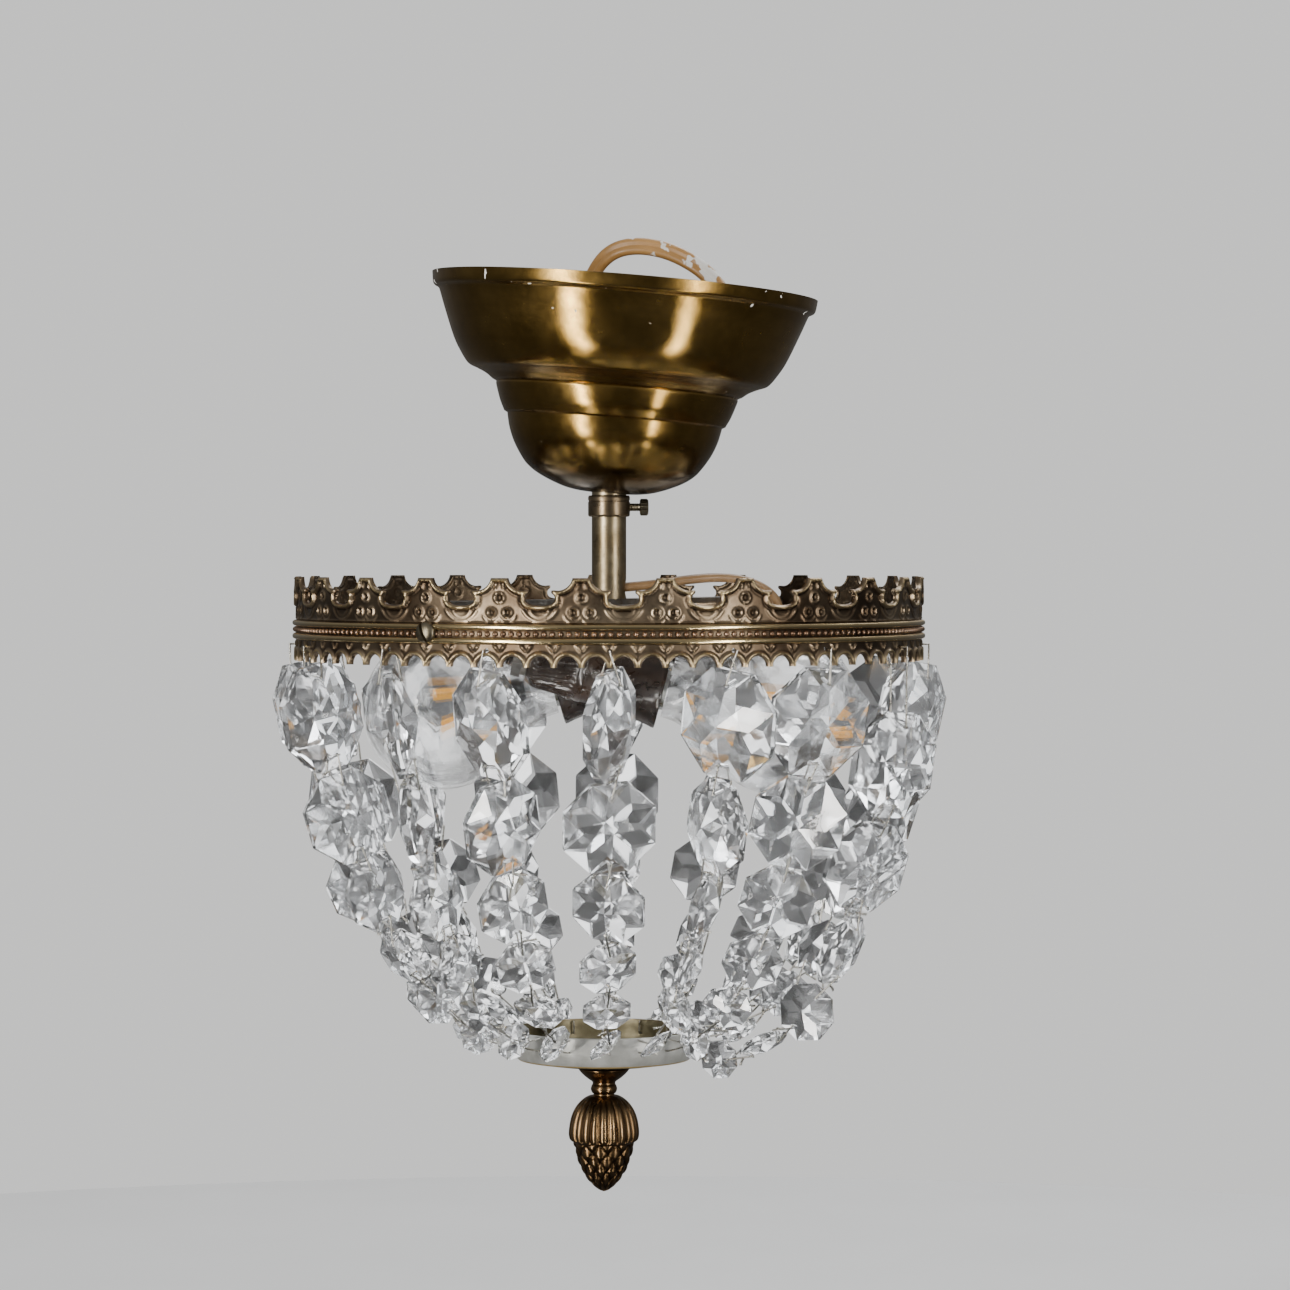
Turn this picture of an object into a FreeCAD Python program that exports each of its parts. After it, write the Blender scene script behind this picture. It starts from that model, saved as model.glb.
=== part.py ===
"""Basket chandelier: a pierced gallery band hung from a ceiling canopy, with strings of cut crystals
running down to a small dish and finial, and two lamps inside.

Millimetres, +Z up, +X to the right, -Y towards the viewer. The origin is the centre of the hanging eye.
"""
import FreeCAD, Part
import math
import os

from FreeCAD import Placement, Rotation, Vector
import Sketcher

doc = FreeCAD.newDocument("BasketChandelier")
UP = Vector(0, 0, 1)

# ---------------------------------------------------------------- driving dimensions
DIMENSIONS = {
    # canopy, heights measured down from the rim
    "canopy_rim_radius": 52.6,
    "canopy_depth": 56.4,
    "canopy_sheet": 0.8,
    "canopy_hole_radius": 5.2,
    "canopy_bottom": -30.8,
    "canopy_tilt": 4.5,
    # hanging eye and stem
    "eye_bore_radius": 5.0,
    "eye_outer_radius": 8.0,
    "eye_thickness": 3.0,
    "coupling_radius": 6.6,
    "coupling_top": -9.0,
    "coupling_bottom": -19.0,
    "stem_radius": 4.7,
    "stem_bore_radius": 3.7,
    "stem_top": -14.0,
    "stem_bottom": -66.0,
    # slip collar and thumb screw
    "collar_top": -31.4,
    "collar_radius": 5.7,
    "collar_height": 5.8,
    "slip_clearance": 0.05,
    "screw_radius": 1.15,
    "screw_head_radius": 2.35,
    "screw_drop": 3.2,
    # spider bar and bracket
    "bar_top": -59.5,
    "bar_thickness": 1.5,
    "bar_width": 11.0,
    "bar_azimuth": -32.4,
    "bar_screw_height": -67.3,
    # gallery band
    "band_radius": 84.8,
    "band_sheet": 0.8,
    "band_top": -53.4,
    "crown_height": 11.6,
    "ridge_height": 5.3,
    "scallop_height": 5.7,
    "ridge_bulge": 1.2,
    "motif_count": 25,
    "motif_shift": 3.0,
    "string_hole_radius": 0.6,
    "string_hole_height": -71.8,
    # lampholders and lamps, lengths along the holder axis from the back of the cap
    "holder_tilt": 14.0,
    "holder_length": 37.0,
    "holder_offset": 14.0,
    "holder_mouth_height": -82.5,
    "holder_cap_length": 14.0,
    "holder_wall": 1.5,
    "nipple_radius": 5.0,
    "nipple_bore_radius": 2.7,
    "lamp_cap_radius": 6.8,
    "lamp_sphere_radius": 22.0,
    "lamp_reach": 54.0,
    "glass_wall": 1.0,
    # flex
    "flex_width": 4.8,
    "wire_radius": 0.7,
    # crystals and pins
    "pin_radius": 0.25,
    "bead_hole_radius": 0.55,
    "bead_apex_ratio": 0.21,
    "bead_girdle_ratio": 0.04,
    "bead_shoulder_ratio": 0.31,
    # bottom dish and finial
    "dish_offset": -1.4,
    "dish_radius": 25.4,
    "dish_wall": 0.8,
    "dish_top": -178.2,
    "dish_wall_bottom": -182.0,
    "dish_floor": -187.5,
    "dish_hole_height": -180.6,
    "dish_hole_radius": 0.75,
    "stud_radius": 2.0,
    "finial_length": 33.9,
}


class Size:
    """A length that carries both its value and the sheet expression that gives it."""

    def __init__(self, value, text):
        self.value = float(value)
        self.text = text

    def __add__(self, other):
        other = as_size(other)
        return Size(self.value + other.value, f"({self.text} + {other.text})")

    def __sub__(self, other):
        other = as_size(other)
        return Size(self.value - other.value, f"({self.text} - {other.text})")

    def __mul__(self, other):
        other = as_size(other)
        return Size(self.value * other.value, f"({self.text} * {other.text})")

    def __neg__(self):
        return Size(-self.value, f"(-{self.text})")

    def __float__(self):
        return self.value


def as_size(number):
    return number if isinstance(number, Size) else Size(number, f"({number:.5f})")


def fill_sheet():
    """Write the driving dimensions to the sheet, one row each, and return them as Sizes."""
    sheet = doc.addObject("Spreadsheet::Sheet", "Dims")
    sizes = {}
    for row, (alias, value) in enumerate(DIMENSIONS.items(), start=1):
        sheet.set(f"A{row}", alias)
        sheet.set(f"B{row}", str(value))
        sheet.setAlias(f"B{row}", alias)
        sizes[alias] = Size(value, f"Dims.{alias}")
    doc.recompute()
    return sizes


dim = fill_sheet()
parts = []


# ---------------------------------------------------------------- helpers
def bind(obj, prop, size):
    """Tie a property to the sheet."""
    size = as_size(size)
    obj.setExpression(prop, size.text)


def keep(obj, label):
    """Register an object as a finished sub-part."""
    obj.Label = label
    parts.append(obj)
    return obj


def place(obj, base, rotation=None):
    """Put an object at a point, tying each coordinate that is a Size to the sheet."""
    obj.Placement = Placement(Vector(*[float(value) for value in base]), rotation or Rotation())
    for axis, value in zip("xyz", base):
        if isinstance(value, Size):
            obj.setExpression(f".Placement.Base.{axis}", value.text)
    return obj


def place_in(obj, frame, along=0.0, across=(0.0, 0.0)):
    """Put an object in a lampholder's frame, some way along its axis."""
    obj.Placement = frame.multiply(Placement(Vector(across[0], across[1], along), Rotation()))
    return obj


def cylinder(name, radius, height, base, axis=UP):
    obj = doc.addObject("Part::Cylinder", name)
    bind(obj, "Radius", radius)
    bind(obj, "Height", height)
    return place(obj, base, Rotation(UP, Vector(*axis)))


def box(name, length, width, height, base, rotation=None):
    obj = doc.addObject("Part::Box", name)
    bind(obj, "Length", length)
    bind(obj, "Width", width)
    bind(obj, "Height", height)
    return place(obj, base, rotation)


def join(name, pieces):
    obj = doc.addObject("Part::MultiFuse", name)
    obj.Shapes = pieces
    return obj


def group(name, pieces):
    """Separate solids kept together in one sub-part."""
    obj = doc.addObject("Part::Compound", name)
    obj.Links = pieces
    return obj


def cut(name, base, tool):
    obj = doc.addObject("Part::Cut", name)
    obj.Base = base
    obj.Tool = tool
    return obj


def origin_plane(body, role):
    return next(item for item in body.Origin.OriginFeatures if item.Role == role)


def draw(body, name, corners, turns=None, role="XZ_Plane"):
    """Draw a closed outline through (radius, height) corners.

    turns maps a corner's index to the angle of the arc that leaves it, positive when it bulges to
    the right of its direction of travel; the other stretches are straight.
    """
    turns = turns or {}
    sketch = body.newObject("Sketcher::SketchObject", name)
    sketch.AttachmentSupport = (origin_plane(body, role), [""])
    sketch.MapMode = "FlatFace"
    add_outline(sketch, corners, turns)
    return sketch


def add_outline(sketch, corners, turns):
    """Add one closed outline to a sketch and tie its corners to the sheet."""
    corners = [(as_size(x), as_size(y)) for x, y in corners]
    points = [Vector(float(x), float(y), 0) for x, y in corners]
    first = sketch.GeometryCount
    for index, here in enumerate(points):
        after = points[(index + 1) % len(points)]
        turn = turns.get(index, 0)
        if not turn:
            sketch.addGeometry(Part.LineSegment(here, after))
            continue
        along = after - here
        right = Vector(along.y, -along.x, 0)
        middle = (here + after) * 0.5 + right * (math.tan(math.radians(turn) / 4) / 2)
        sketch.addGeometry(Part.Arc(here, middle, after))
    starts = []
    for index, here in enumerate(points):
        at_start = (sketch.getPoint(first + index, 1) - here).Length < 1e-6
        starts.append(1 if at_start else 2)
    for index, (x, y) in enumerate(corners):
        geometry = first + index
        following = (index + 1) % len(points)
        for kind, size in (("DistanceX", x), ("DistanceY", y)):
            number = sketch.addConstraint(
                Sketcher.Constraint(kind, -1, 1, geometry, starts[index], float(size)))
            sketch.setExpression(f"Constraints[{number}]", size.text)
        sketch.addConstraint(Sketcher.Constraint(
            "Coincident", geometry, 3 - starts[index], first + following, starts[following]))
        if turns.get(index):
            sketch.addConstraint(
                Sketcher.Constraint("Angle", geometry, math.radians(abs(turns[index]))))


def turned(name, corners, turns=None):
    """A body of revolution about its own Z axis."""
    body = doc.addObject("PartDesign::Body", name)
    sketch = draw(body, name + "Outline", corners, turns)
    revolution = body.newObject("PartDesign::Revolution", name + "Turn")
    revolution.Profile = sketch
    revolution.ReferenceAxis = (sketch, ["V_Axis"])
    revolution.Angle = 360
    body.Tip = revolution
    return body


def sheet_outline(corners, thickness):
    """Close an open profile into a thin wall by repeating it, moved inwards by the thickness."""
    points = [(float(x), float(y)) for x, y in corners]
    inner = []
    for index, (x, y) in enumerate(corners):
        before = points[max(index - 1, 0)]
        after = points[min(index + 1, len(points) - 1)]
        run = math.hypot(after[0] - before[0], after[1] - before[1])
        inward = ((before[1] - after[1]) / run, (after[0] - before[0]) / run)
        inner.append((x + thickness * inward[0], y + thickness * inward[1]))
    return corners + inner[::-1]


def checked_route(points, width, name):
    """A path of straight runs and tangent arcs through the route's points, and its length."""
    points = [Vector(*point) for point in points]
    edges = []
    start = points[0]
    for before, here, after in zip(points, points[1:], points[2:]):
        back = (before - here).normalize()
        ahead = (after - here).normalize()
        half_turn = (math.pi - back.getAngle(ahead)) / 2
        shorter = min((before - here).Length, (after - here).Length)
        tangent = 0.45 * shorter
        radius = tangent / math.tan(half_turn)
        print(f"{name}: bend radius {radius:.1f} mm, {radius / width:.1f} widths")
        inward = (back + ahead).normalize()
        middle = here + inward * (radius / math.cos(half_turn) - radius)
        arc_start = here + back * tangent
        arc_end = here + ahead * tangent
        edges.append(Part.LineSegment(start, arc_start).toShape())
        edges.append(Part.Arc(arc_start, middle, arc_end).toShape())
        start = arc_end
    edges.append(Part.LineSegment(start, points[-1]).toShape())
    return Part.Wire(edges)


def tube_along(name, points, width):
    """A plain round tube along a cord's route."""
    path = checked_route(points, width, name)
    direction = Vector(*points[1]) - Vector(*points[0])
    section = Part.Wire(Part.makeCircle(width / 2, Vector(*points[0]), direction))
    tube = path.makePipeShell([section], True, False)
    expected = math.pi * width ** 2 / 4 * path.Length
    print(f"{name}: length {path.Length:.0f} mm, volume {tube.Volume / expected:.3f} of expected")
    obj = doc.addObject("Part::Feature", name)
    obj.Shape = tube
    return obj


# ---------------------------------------------------------------- canopy
def make_canopy():
    """A spun cup in three tiers, open upwards; it sits askew on the collar."""
    rim = dim["canopy_rim_radius"]
    depth = dim["canopy_depth"]
    profile = [
        (dim["canopy_hole_radius"], as_size(0)),
        (rim * 0.228, depth - 55.5),
        (rim * 0.371, depth - 52.5),
        (rim * 0.460, depth - 48.6),
        (rim * 0.510, depth - 44.5),
        (rim * 0.557, depth - 36.7),
        (rim * 0.568, depth - 36.2),
        (rim * 0.631, depth - 28.5),
        (rim * 0.684, depth - 26.3),
        (rim * 0.779, depth - 24.0),
        (rim * 0.865, depth - 17.0),
        (rim * 0.918, depth - 10.0),
        (rim * 0.962, depth - 4.3),
        (rim * 0.985, depth - 3.6),
        (rim, depth),
    ]
    last = len(profile) - 1
    outline = sheet_outline(profile, dim["canopy_sheet"])
    bulges = {1: 16, 2: 14, 8: 14, 9: 14, 10: 10}
    turns = dict(bulges)
    for corner, turn in bulges.items():
        turns[2 * last - corner] = -turn
    canopy = turned("Canopy", outline, turns)
    tilt = Rotation(Vector(0, 1, 0), float(dim["canopy_tilt"]))
    return keep(place(canopy, (0, 0, dim["canopy_bottom"]), tilt), "canopy")


# ---------------------------------------------------------------- stem, eye, collar
def make_stem():
    """Stem tube with a side slot for the lamp flex."""
    length = dim["stem_top"] - dim["stem_bottom"]
    outer = cylinder("StemOuter", dim["stem_radius"], length, (0, 0, dim["stem_bottom"]))
    bore = cylinder("StemBore", dim["stem_bore_radius"], length + 2, (0, 0, dim["stem_bottom"] - 1))
    outlet = cylinder("StemOutlet", dim["flex_width"] * 0.5 + 0.3, 8,
                      (0, 0.9, dim["bar_top"] + 2.8), Vector(1, 0, 0))
    keep(cut("Stem", outer, join("StemHollow", [bore, outlet])), "stem_tube")


def make_hanging_loop():
    """Flat eye on a hollow coupling that is screwed over the top of the stem."""
    thickness = dim["eye_thickness"]
    ring = cylinder("EyeRing", dim["eye_outer_radius"], thickness, (0, thickness * 0.5, 0),
                    Vector(0, -1, 0))
    cup_height = dim["coupling_top"] - dim["coupling_bottom"]
    cup = cylinder("Coupling", dim["coupling_radius"], cup_height, (0, 0, dim["coupling_bottom"]))
    neck = box("EyeNeck", 8, thickness, 5, (-4, -thickness * 0.5, dim["coupling_top"] - 1.5))
    bore = cylinder("EyeBore", dim["eye_bore_radius"], thickness + 2, (0, thickness * 0.5 + 1, 0),
                    Vector(0, -1, 0))
    seat = cylinder("StemSeat", dim["stem_radius"], dim["stem_top"] - dim["coupling_bottom"] + 1,
                    (0, 0, dim["coupling_bottom"] - 1))
    wireway = cylinder("WireWay", dim["stem_bore_radius"], 3, (0, 0, dim["stem_top"] - 0.5))
    outlet = cylinder("CordOutlet", dim["flex_width"] * 0.5 + 0.1, 10,
                      (0, 0, dim["stem_top"] + 2.4), Vector(0, 1, 0))
    solid = join("EyeSolid", [ring, neck, cup])
    keep(cut("HangingLoop", solid, join("EyeHollow", [bore, seat, wireway, outlet])), "hanging_loop")


def make_collar():
    """Slip collar under the canopy, with a thumb screw that clamps it to the stem."""
    height = dim["collar_height"]
    bottom = dim["collar_top"] - height
    body = cylinder("CollarBody", dim["collar_radius"], height, (0, 0, bottom))
    bore = cylinder("CollarBore", dim["stem_radius"] + dim["slip_clearance"], height + 2,
                    (0, 0, bottom - 1))
    screw_height = dim["collar_top"] - dim["screw_drop"]
    tapped = cylinder("CollarTapping", dim["screw_radius"] + 0.05, 6,
                      (dim["stem_radius"] - 1, 0, screw_height), Vector(1, 0, 0))
    keep(cut("SlipCollar", body, join("CollarHollow", [bore, tapped])), "slip_collar")
    shaft = cylinder("ScrewShaft", dim["screw_radius"], 4.6,
                     (dim["stem_radius"] + 0.05, 0, screw_height), Vector(1, 0, 0))
    head = cylinder("ScrewHead", dim["screw_head_radius"], 1.7,
                    (dim["stem_radius"] + 4.4, 0, screw_height), Vector(1, 0, 0))
    keep(join("ThumbScrew", [shaft, head]), "thumb_screw")


# ---------------------------------------------------------------- spider bar, bracket, nuts
def bar_direction():
    """Unit vector along the spider bar, towards its front left screw."""
    return outward(float(dim["bar_azimuth"]))


def make_spider_bar():
    """Flat strip across the band with its ends bent down to the two screws."""
    direction = bar_direction()
    turn = Rotation(Vector(1, 0, 0), direction)
    reach = dim["band_radius"] - dim["band_sheet"] - 0.3
    thick = dim["bar_thickness"]
    wide = dim["bar_width"]
    side = Vector(-direction.y, direction.x, 0)
    pieces = []
    strip = box("BarStrip", reach * 2, wide, thick, start_of(direction, side, -reach, -wide * 0.5,
                dim["bar_top"] - thick), turn)
    pieces.append(strip)
    tab_height = dim["bar_top"] - dim["bar_screw_height"] + 4
    for name, start in (("BarTabNear", reach - thick), ("BarTabFar", -reach)):
        pieces.append(box(name, thick, wide, tab_height,
                          start_of(direction, side, start, -wide * 0.5, dim["bar_top"] - tab_height),
                          turn))
    hole = cylinder("BarHole", dim["stem_radius"] + 0.05, 8, (0, 0, dim["bar_top"] - 4))
    tapped = cylinder("BarTapping", 1.65, 200,
                      (direction * -100)[:2] + (dim["bar_screw_height"],), direction)
    keep(cut("SpiderBar", join("BarSolid", pieces), join("BarHoles", [hole, tapped])), "spider_bar")


def start_of(direction, side, along, across, height):
    """A point given along and across a horizontal direction."""
    along, across = as_size(along), as_size(across)
    return (along * direction.x + across * side.x, along * direction.y + across * side.y, height)


def holder_frame(turn):
    """Placement of a lampholder: origin at the back of its cap, local Z towards its mouth."""
    tilt = math.radians(float(dim["holder_tilt"]))
    length = float(dim["holder_length"])
    offset = float(dim["holder_offset"])
    side = -1 if turn == 0 else 1
    facing = -side
    axis = Vector(facing * math.cos(tilt), 0, -math.sin(tilt))
    mouth = Vector(facing * 15.0, side * offset, float(dim["holder_mouth_height"]))
    return Placement(mouth - axis * length, Rotation(UP, axis))


def make_bracket():
    """Z-shaped strip under the spider bar, its ends bent down into an ear behind each lampholder."""
    top = dim["bar_top"] - dim["bar_thickness"]
    thick = dim["bar_thickness"]
    pieces = [box("BracketPlate", 48, 14, thick, (-24, -7, top - thick))]
    holes = [cylinder("BracketHole", dim["stem_radius"] + 0.05, 8, (0, 0, top - 4))]
    for number, turn in enumerate((0, 180)):
        frame = holder_frame(turn)
        side = -1 if turn == 0 else 1
        pieces.append(box(f"BracketArm{number}", 8, 19, thick,
                          (side * 20 - 4, -19 if side < 0 else 0, top - thick)))
        above = -12.5 if side < 0 else -6.5
        pieces.append(place_in(box(f"BracketEar{number}", 19, 12, thick, (0, 0, 0)), frame,
                               -float(thick), (above, -6)))
        holes.append(place_in(cylinder(f"EarHole{number}", dim["nipple_radius"] + 0.05, 6, (0, 0, 0)),
                              frame, -4))
    keep(cut("LampBracket", join("BracketSolid", pieces), join("BracketHoles", holes)), "lamp_bracket")


def hexagon_nut(name, across_flats, bore, height):
    """A hexagon nut standing on its own origin."""
    prism = doc.addObject("Part::Prism", name + "Hexagon")
    prism.Polygon = 6
    bind(prism, "Circumradius", across_flats * (0.5 / math.cos(math.pi / 6)))
    bind(prism, "Height", height)
    hole = cylinder(name + "Bore", bore, 20, (0, 0, -5))
    return cut(name, prism, hole)


def make_nuts():
    """Nut under the bracket on the stem, and a nut on each lampholder's nipple."""
    stem_nut = hexagon_nut("StemNut", as_size(15), dim["stem_radius"] + 0.02, as_size(3))
    place(stem_nut, (0, 0, dim["bar_top"] - dim["bar_thickness"] * 2 - 3))
    nuts = [stem_nut]
    for number, turn in enumerate((0, 180)):
        nut = hexagon_nut(f"NippleNut{number}", as_size(13), dim["nipple_radius"] + 0.02, as_size(2.5))
        nuts.append(place_in(nut, holder_frame(turn), -4.0))
    keep(group("LockNuts", nuts), "lock_nuts")


# ---------------------------------------------------------------- gallery band
def string_angles():
    """Azimuth of each string, from the viewer's side towards +X; drilled a little unevenly in front."""
    front = [-67.7, -41.4, -21.0, 0.6, 22.4, 41.5, 65.0]
    rest = 9
    gap = (360 - front[-1] + front[0]) / (rest + 1)
    return front + [front[-1] + gap * (step + 1) for step in range(rest)]


def outward(angle):
    """Horizontal unit vector at an azimuth measured from the viewer's side."""
    radians = math.radians(angle)
    return Vector(math.sin(radians), -math.cos(radians), 0)


def make_band():
    """Pierced gallery: crown motifs above a double ridge, scallops below."""
    outer = dim["band_radius"]
    inner = outer - dim["band_sheet"]
    ridge = outer + dim["ridge_bulge"]
    ridge_top = dim["band_top"] - dim["crown_height"]
    ridge_bottom = ridge_top - dim["ridge_height"]
    tips = ridge_bottom - dim["scallop_height"]
    corners = [
        (inner, tips), (outer, tips), (outer, ridge_bottom), (ridge, ridge_bottom + 0.3),
        (ridge, ridge_bottom + 1.5), (outer + 0.3, ridge_bottom + 1.8),
        (outer + 0.3, ridge_top - 1.7), (ridge, ridge_top - 1.4), (ridge, ridge_top - 0.3),
        (outer, ridge_top), (outer, dim["band_top"]), (inner, dim["band_top"]),
    ]
    ring = turned("Gallery", corners, {3: 60, 7: 60})
    top = dim["band_top"]
    gap = [
        (as_size(-8.4), top + 1), (as_size(-8.4), top), (as_size(-3.5), top - 3.2),
        (as_size(-2.95), top - 4.0), (as_size(-3.3), top - 6.9), (as_size(3.3), top - 6.9),
        (as_size(2.95), top - 4.0), (as_size(3.5), top - 3.2), (as_size(8.4), top), (as_size(8.4), top + 1),
    ]
    pitch = 2 * math.pi * float(outer) / float(dim["motif_count"])
    half = 2.7
    notches = []
    for step in (-1, 0, 1):
        middle = pitch / 3 * step
        notches.append(([(as_size(middle - half), tips - 1), (as_size(middle + half), tips - 1),
                         (as_size(middle + half), tips + 0.6), (as_size(middle - half), tips + 0.6)],
                        {2: 150}))
    gap_turns = {1: 50, 3: -100, 4: -50, 5: -100, 7: 50}
    cutters = [radial_prism("CrownGap", [(gap, gap_turns)]), radial_prism("ScallopNotches", notches)]
    doc.recompute()
    repeated = doc.addObject("Part::Feature", "MotifCutters")
    repeated.Shape = around_axis(cutters, int(float(dim["motif_count"])))
    pierced = cut("PiercedGallery", ring, repeated)
    holes = []
    for number, angle in enumerate(string_angles(), start=1):
        direction = outward(angle)
        start = direction * (float(inner) - 3)
        holes.append(cylinder(f"StringHole{number:02d}", dim["string_hole_radius"], 8,
                              (start.x, start.y, dim["string_hole_height"]), direction))
    direction = bar_direction()
    holes.append(cylinder("BandScrewHoles", 1.7, 200, (direction.x * -100, direction.y * -100,
                          dim["bar_screw_height"]), direction))
    keep(cut("GalleryBand", pierced, group("BandHoles", holes)), "gallery_band")


def radial_prism(name, outlines):
    """Outlines drawn square to -Y and pushed out through the near wall of the band."""
    sketch = doc.addObject("Sketcher::SketchObject", name + "Outline")
    sketch.Placement = Placement(Vector(), Rotation(Vector(1, 0, 0), 90))
    for corners, turns in outlines:
        add_outline(sketch, corners, turns)
    prism = doc.addObject("Part::Extrusion", name)
    prism.Base = sketch
    prism.DirMode = "Normal"
    prism.Solid = True
    bind(prism, "LengthFwd", dim["band_radius"] + 10)
    return prism


def around_axis(cutters, count):
    """Copies of the cutters' outer ends, spaced evenly round the vertical axis."""
    core = Part.makeCylinder(float(dim["band_radius"]) - 5, 60, Vector(0, 0, -100))
    ends = [solid for cutter in cutters for solid in cutter.Shape.cut(core).Solids]
    copies = []
    for step in range(count):
        for solid in ends:
            copy = solid.copy()
            copy.rotate(Vector(), UP, 360 / count * step + float(dim["motif_shift"]))
            copies.append(copy)
    return Part.makeCompound(copies)


def make_band_screws():
    """Two dome-head screws through the band into the ends of the spider bar."""
    screws = []
    for number, facing in enumerate((1, -1)):
        direction = bar_direction() * facing
        seat = float(dim["band_radius"]) + float(dim["ridge_bulge"]) + 0.4
        start = direction * seat
        head = doc.addObject("Part::Sphere", f"ScrewDome{number}")
        head.Angle1 = 0
        bind(head, "Radius", as_size(3.1))
        head.Placement = Placement(Vector(start.x, start.y, float(dim["bar_screw_height"])),
                                   Rotation(UP, direction))
        start = direction * (seat - 5)
        shaft = cylinder(f"ScrewShank{number}", 1.6, 5.5, (start.x, start.y, dim["bar_screw_height"]),
                         direction)
        screws.append(join(f"BandScrew{number}", [head, shaft]))
    keep(group("BandScrews", screws), "band_screws")


# ---------------------------------------------------------------- lampholders and lamps
def make_lamp(side_name, turn):
    """Lampholder and lamp, all turned about the holder axis and then placed."""
    frame = holder_frame(turn)
    cap_length = dim["holder_cap_length"]
    wall = dim["holder_wall"]
    title = side_name.capitalize()
    cap = turned("HolderCap" + title, [
        (dim["nipple_bore_radius"], as_size(-6)), (dim["nipple_radius"], as_size(-6)),
        (dim["nipple_radius"], as_size(0)), (as_size(7.6), as_size(0)), (as_size(9.4), as_size(3)),
        (as_size(9.8), cap_length), (as_size(9.8) - wall, cap_length), (as_size(9.4) - wall, as_size(3.6)),
        (as_size(6.4), wall), (dim["nipple_bore_radius"], wall)])
    shell = turned("HolderShell" + title, [
        (as_size(9.9), cap_length), (as_size(10.4), as_size(24)), (as_size(12), dim["holder_length"] - 1),
        (as_size(12), dim["holder_length"]), (as_size(12) - wall, dim["holder_length"]),
        (as_size(10.4) - wall, as_size(24)), (as_size(9.9) - wall, cap_length)])
    cap_radius = dim["lamp_cap_radius"]
    lamp_cap = turned("LampCap" + title, [
        (as_size(0), as_size(17)), (as_size(2.5), as_size(17)), (cap_radius - 1, as_size(20)),
        (cap_radius, as_size(21)), (cap_radius, as_size(38)), (cap_radius - 0.5, as_size(38)),
        (cap_radius - 0.5, as_size(21.5)), (as_size(0), as_size(20))])
    reach = dim["holder_length"] + dim["lamp_reach"]
    sphere = dim["lamp_sphere_radius"]
    glass_wall = dim["glass_wall"]
    centre = reach - sphere
    neck = as_size(8.6)
    shoulder = as_size(14.6)
    tip = as_size(1.2)
    waist = centre - sphere * 0.72
    envelope = turned("LampGlass" + title, [
        (neck, as_size(38.1)), (neck + 1.2, as_size(44)), (shoulder, waist), (tip, reach),
        (as_size(0), reach), (as_size(0), reach - glass_wall), (tip, reach - glass_wall),
        (shoulder - glass_wall, waist + 0.4), (neck + 1.2 - glass_wall, as_size(44.3)),
        (neck - glass_wall, as_size(38.1))], {2: 130, 6: -129})
    filament_parts = [cylinder("LampStem" + title, 2.6, 14, (0, 0, 38.3))]
    for number in range(4):
        angle = math.radians(45 + 90 * number)
        filament_parts.append(cylinder(f"Filament{title}{number}", 0.8, 21,
                                       (3.6 * math.cos(angle), 3.6 * math.sin(angle), 50.5)))
    ring = cylinder("FilamentRing" + title, 4.6, 0.8, (0, 0, 50.0))
    filaments = join("Filaments" + title, filament_parts + [ring])
    named = {"holder_cap_": cap, "holder_shell_": shell, "bulb_cap_": lamp_cap,
             "bulb_glass_": envelope, "bulb_filament_": filaments}
    for prefix, obj in named.items():
        obj.Placement = frame
        keep(obj, prefix + side_name)
    sleeve = turned("ContactSleeve" + title, [
        (cap_radius + 0.1, as_size(18)), (cap_radius + 0.5, as_size(18)),
        (cap_radius + 0.5, as_size(34)), (cap_radius + 0.1, as_size(34))])
    sleeve.Placement = frame
    return sleeve


def make_lamps():
    sleeves = [make_lamp("front", 0), make_lamp("rear", 180)]
    keep(group("ContactSleeves", sleeves), "contact_sleeves")


# ---------------------------------------------------------------- flex
SUPPLY_ROUTE = [(0, 3.5, -11.6), (0, 14, -11.6), (-4, 21.5, -5), (-9, 23.5, 5.5), (-10, 20, 16.5),
                (-6, 13.5, 27), (-1, 7, 34.8), (7, 4.5, 37.2), (18, 3, 35), (29, -0.5, 27.5),
                (32.5, -8, 17), (24.5, -17, 8.5), (12.5, -22.5, 4.5)]
LAMP_ROUTE = [(2.6, 0.9, -56.5), (12, 2, -55.8), (22, 4.5, -54.2), (32, 8, -53.6), (40, 10.5, -55.2),
              (46, 12.5, -59.5), (46.5, 14, -65.5), (41, 14.3, -69.4), (33, 14, -70.3), (25, 14, -72.5)]


def make_cords():
    """Supply flex looping over the canopy's rim, its bare wires, and the flex to the rear lamp."""
    width = float(dim["flex_width"])
    keep(tube_along("SupplyCord", SUPPLY_ROUTE, width), "supply_cord")
    keep(tube_along("LampFlex", LAMP_ROUTE, width - 0.2), "lamp_flex")
    last = Vector(*SUPPLY_ROUTE[-1])
    direction = (last - Vector(*SUPPLY_ROUTE[-2])).normalize()
    across = direction.cross(UP).normalize()
    wires = []
    for number, offset in enumerate((-1.1, 1.1)):
        start = last + across * offset
        wires.append(cylinder(f"BareWire{number}", dim["wire_radius"], 10,
                              (start.x, start.y, start.z), direction))
    keep(group("CordWires", wires), "cord_wires")


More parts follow.
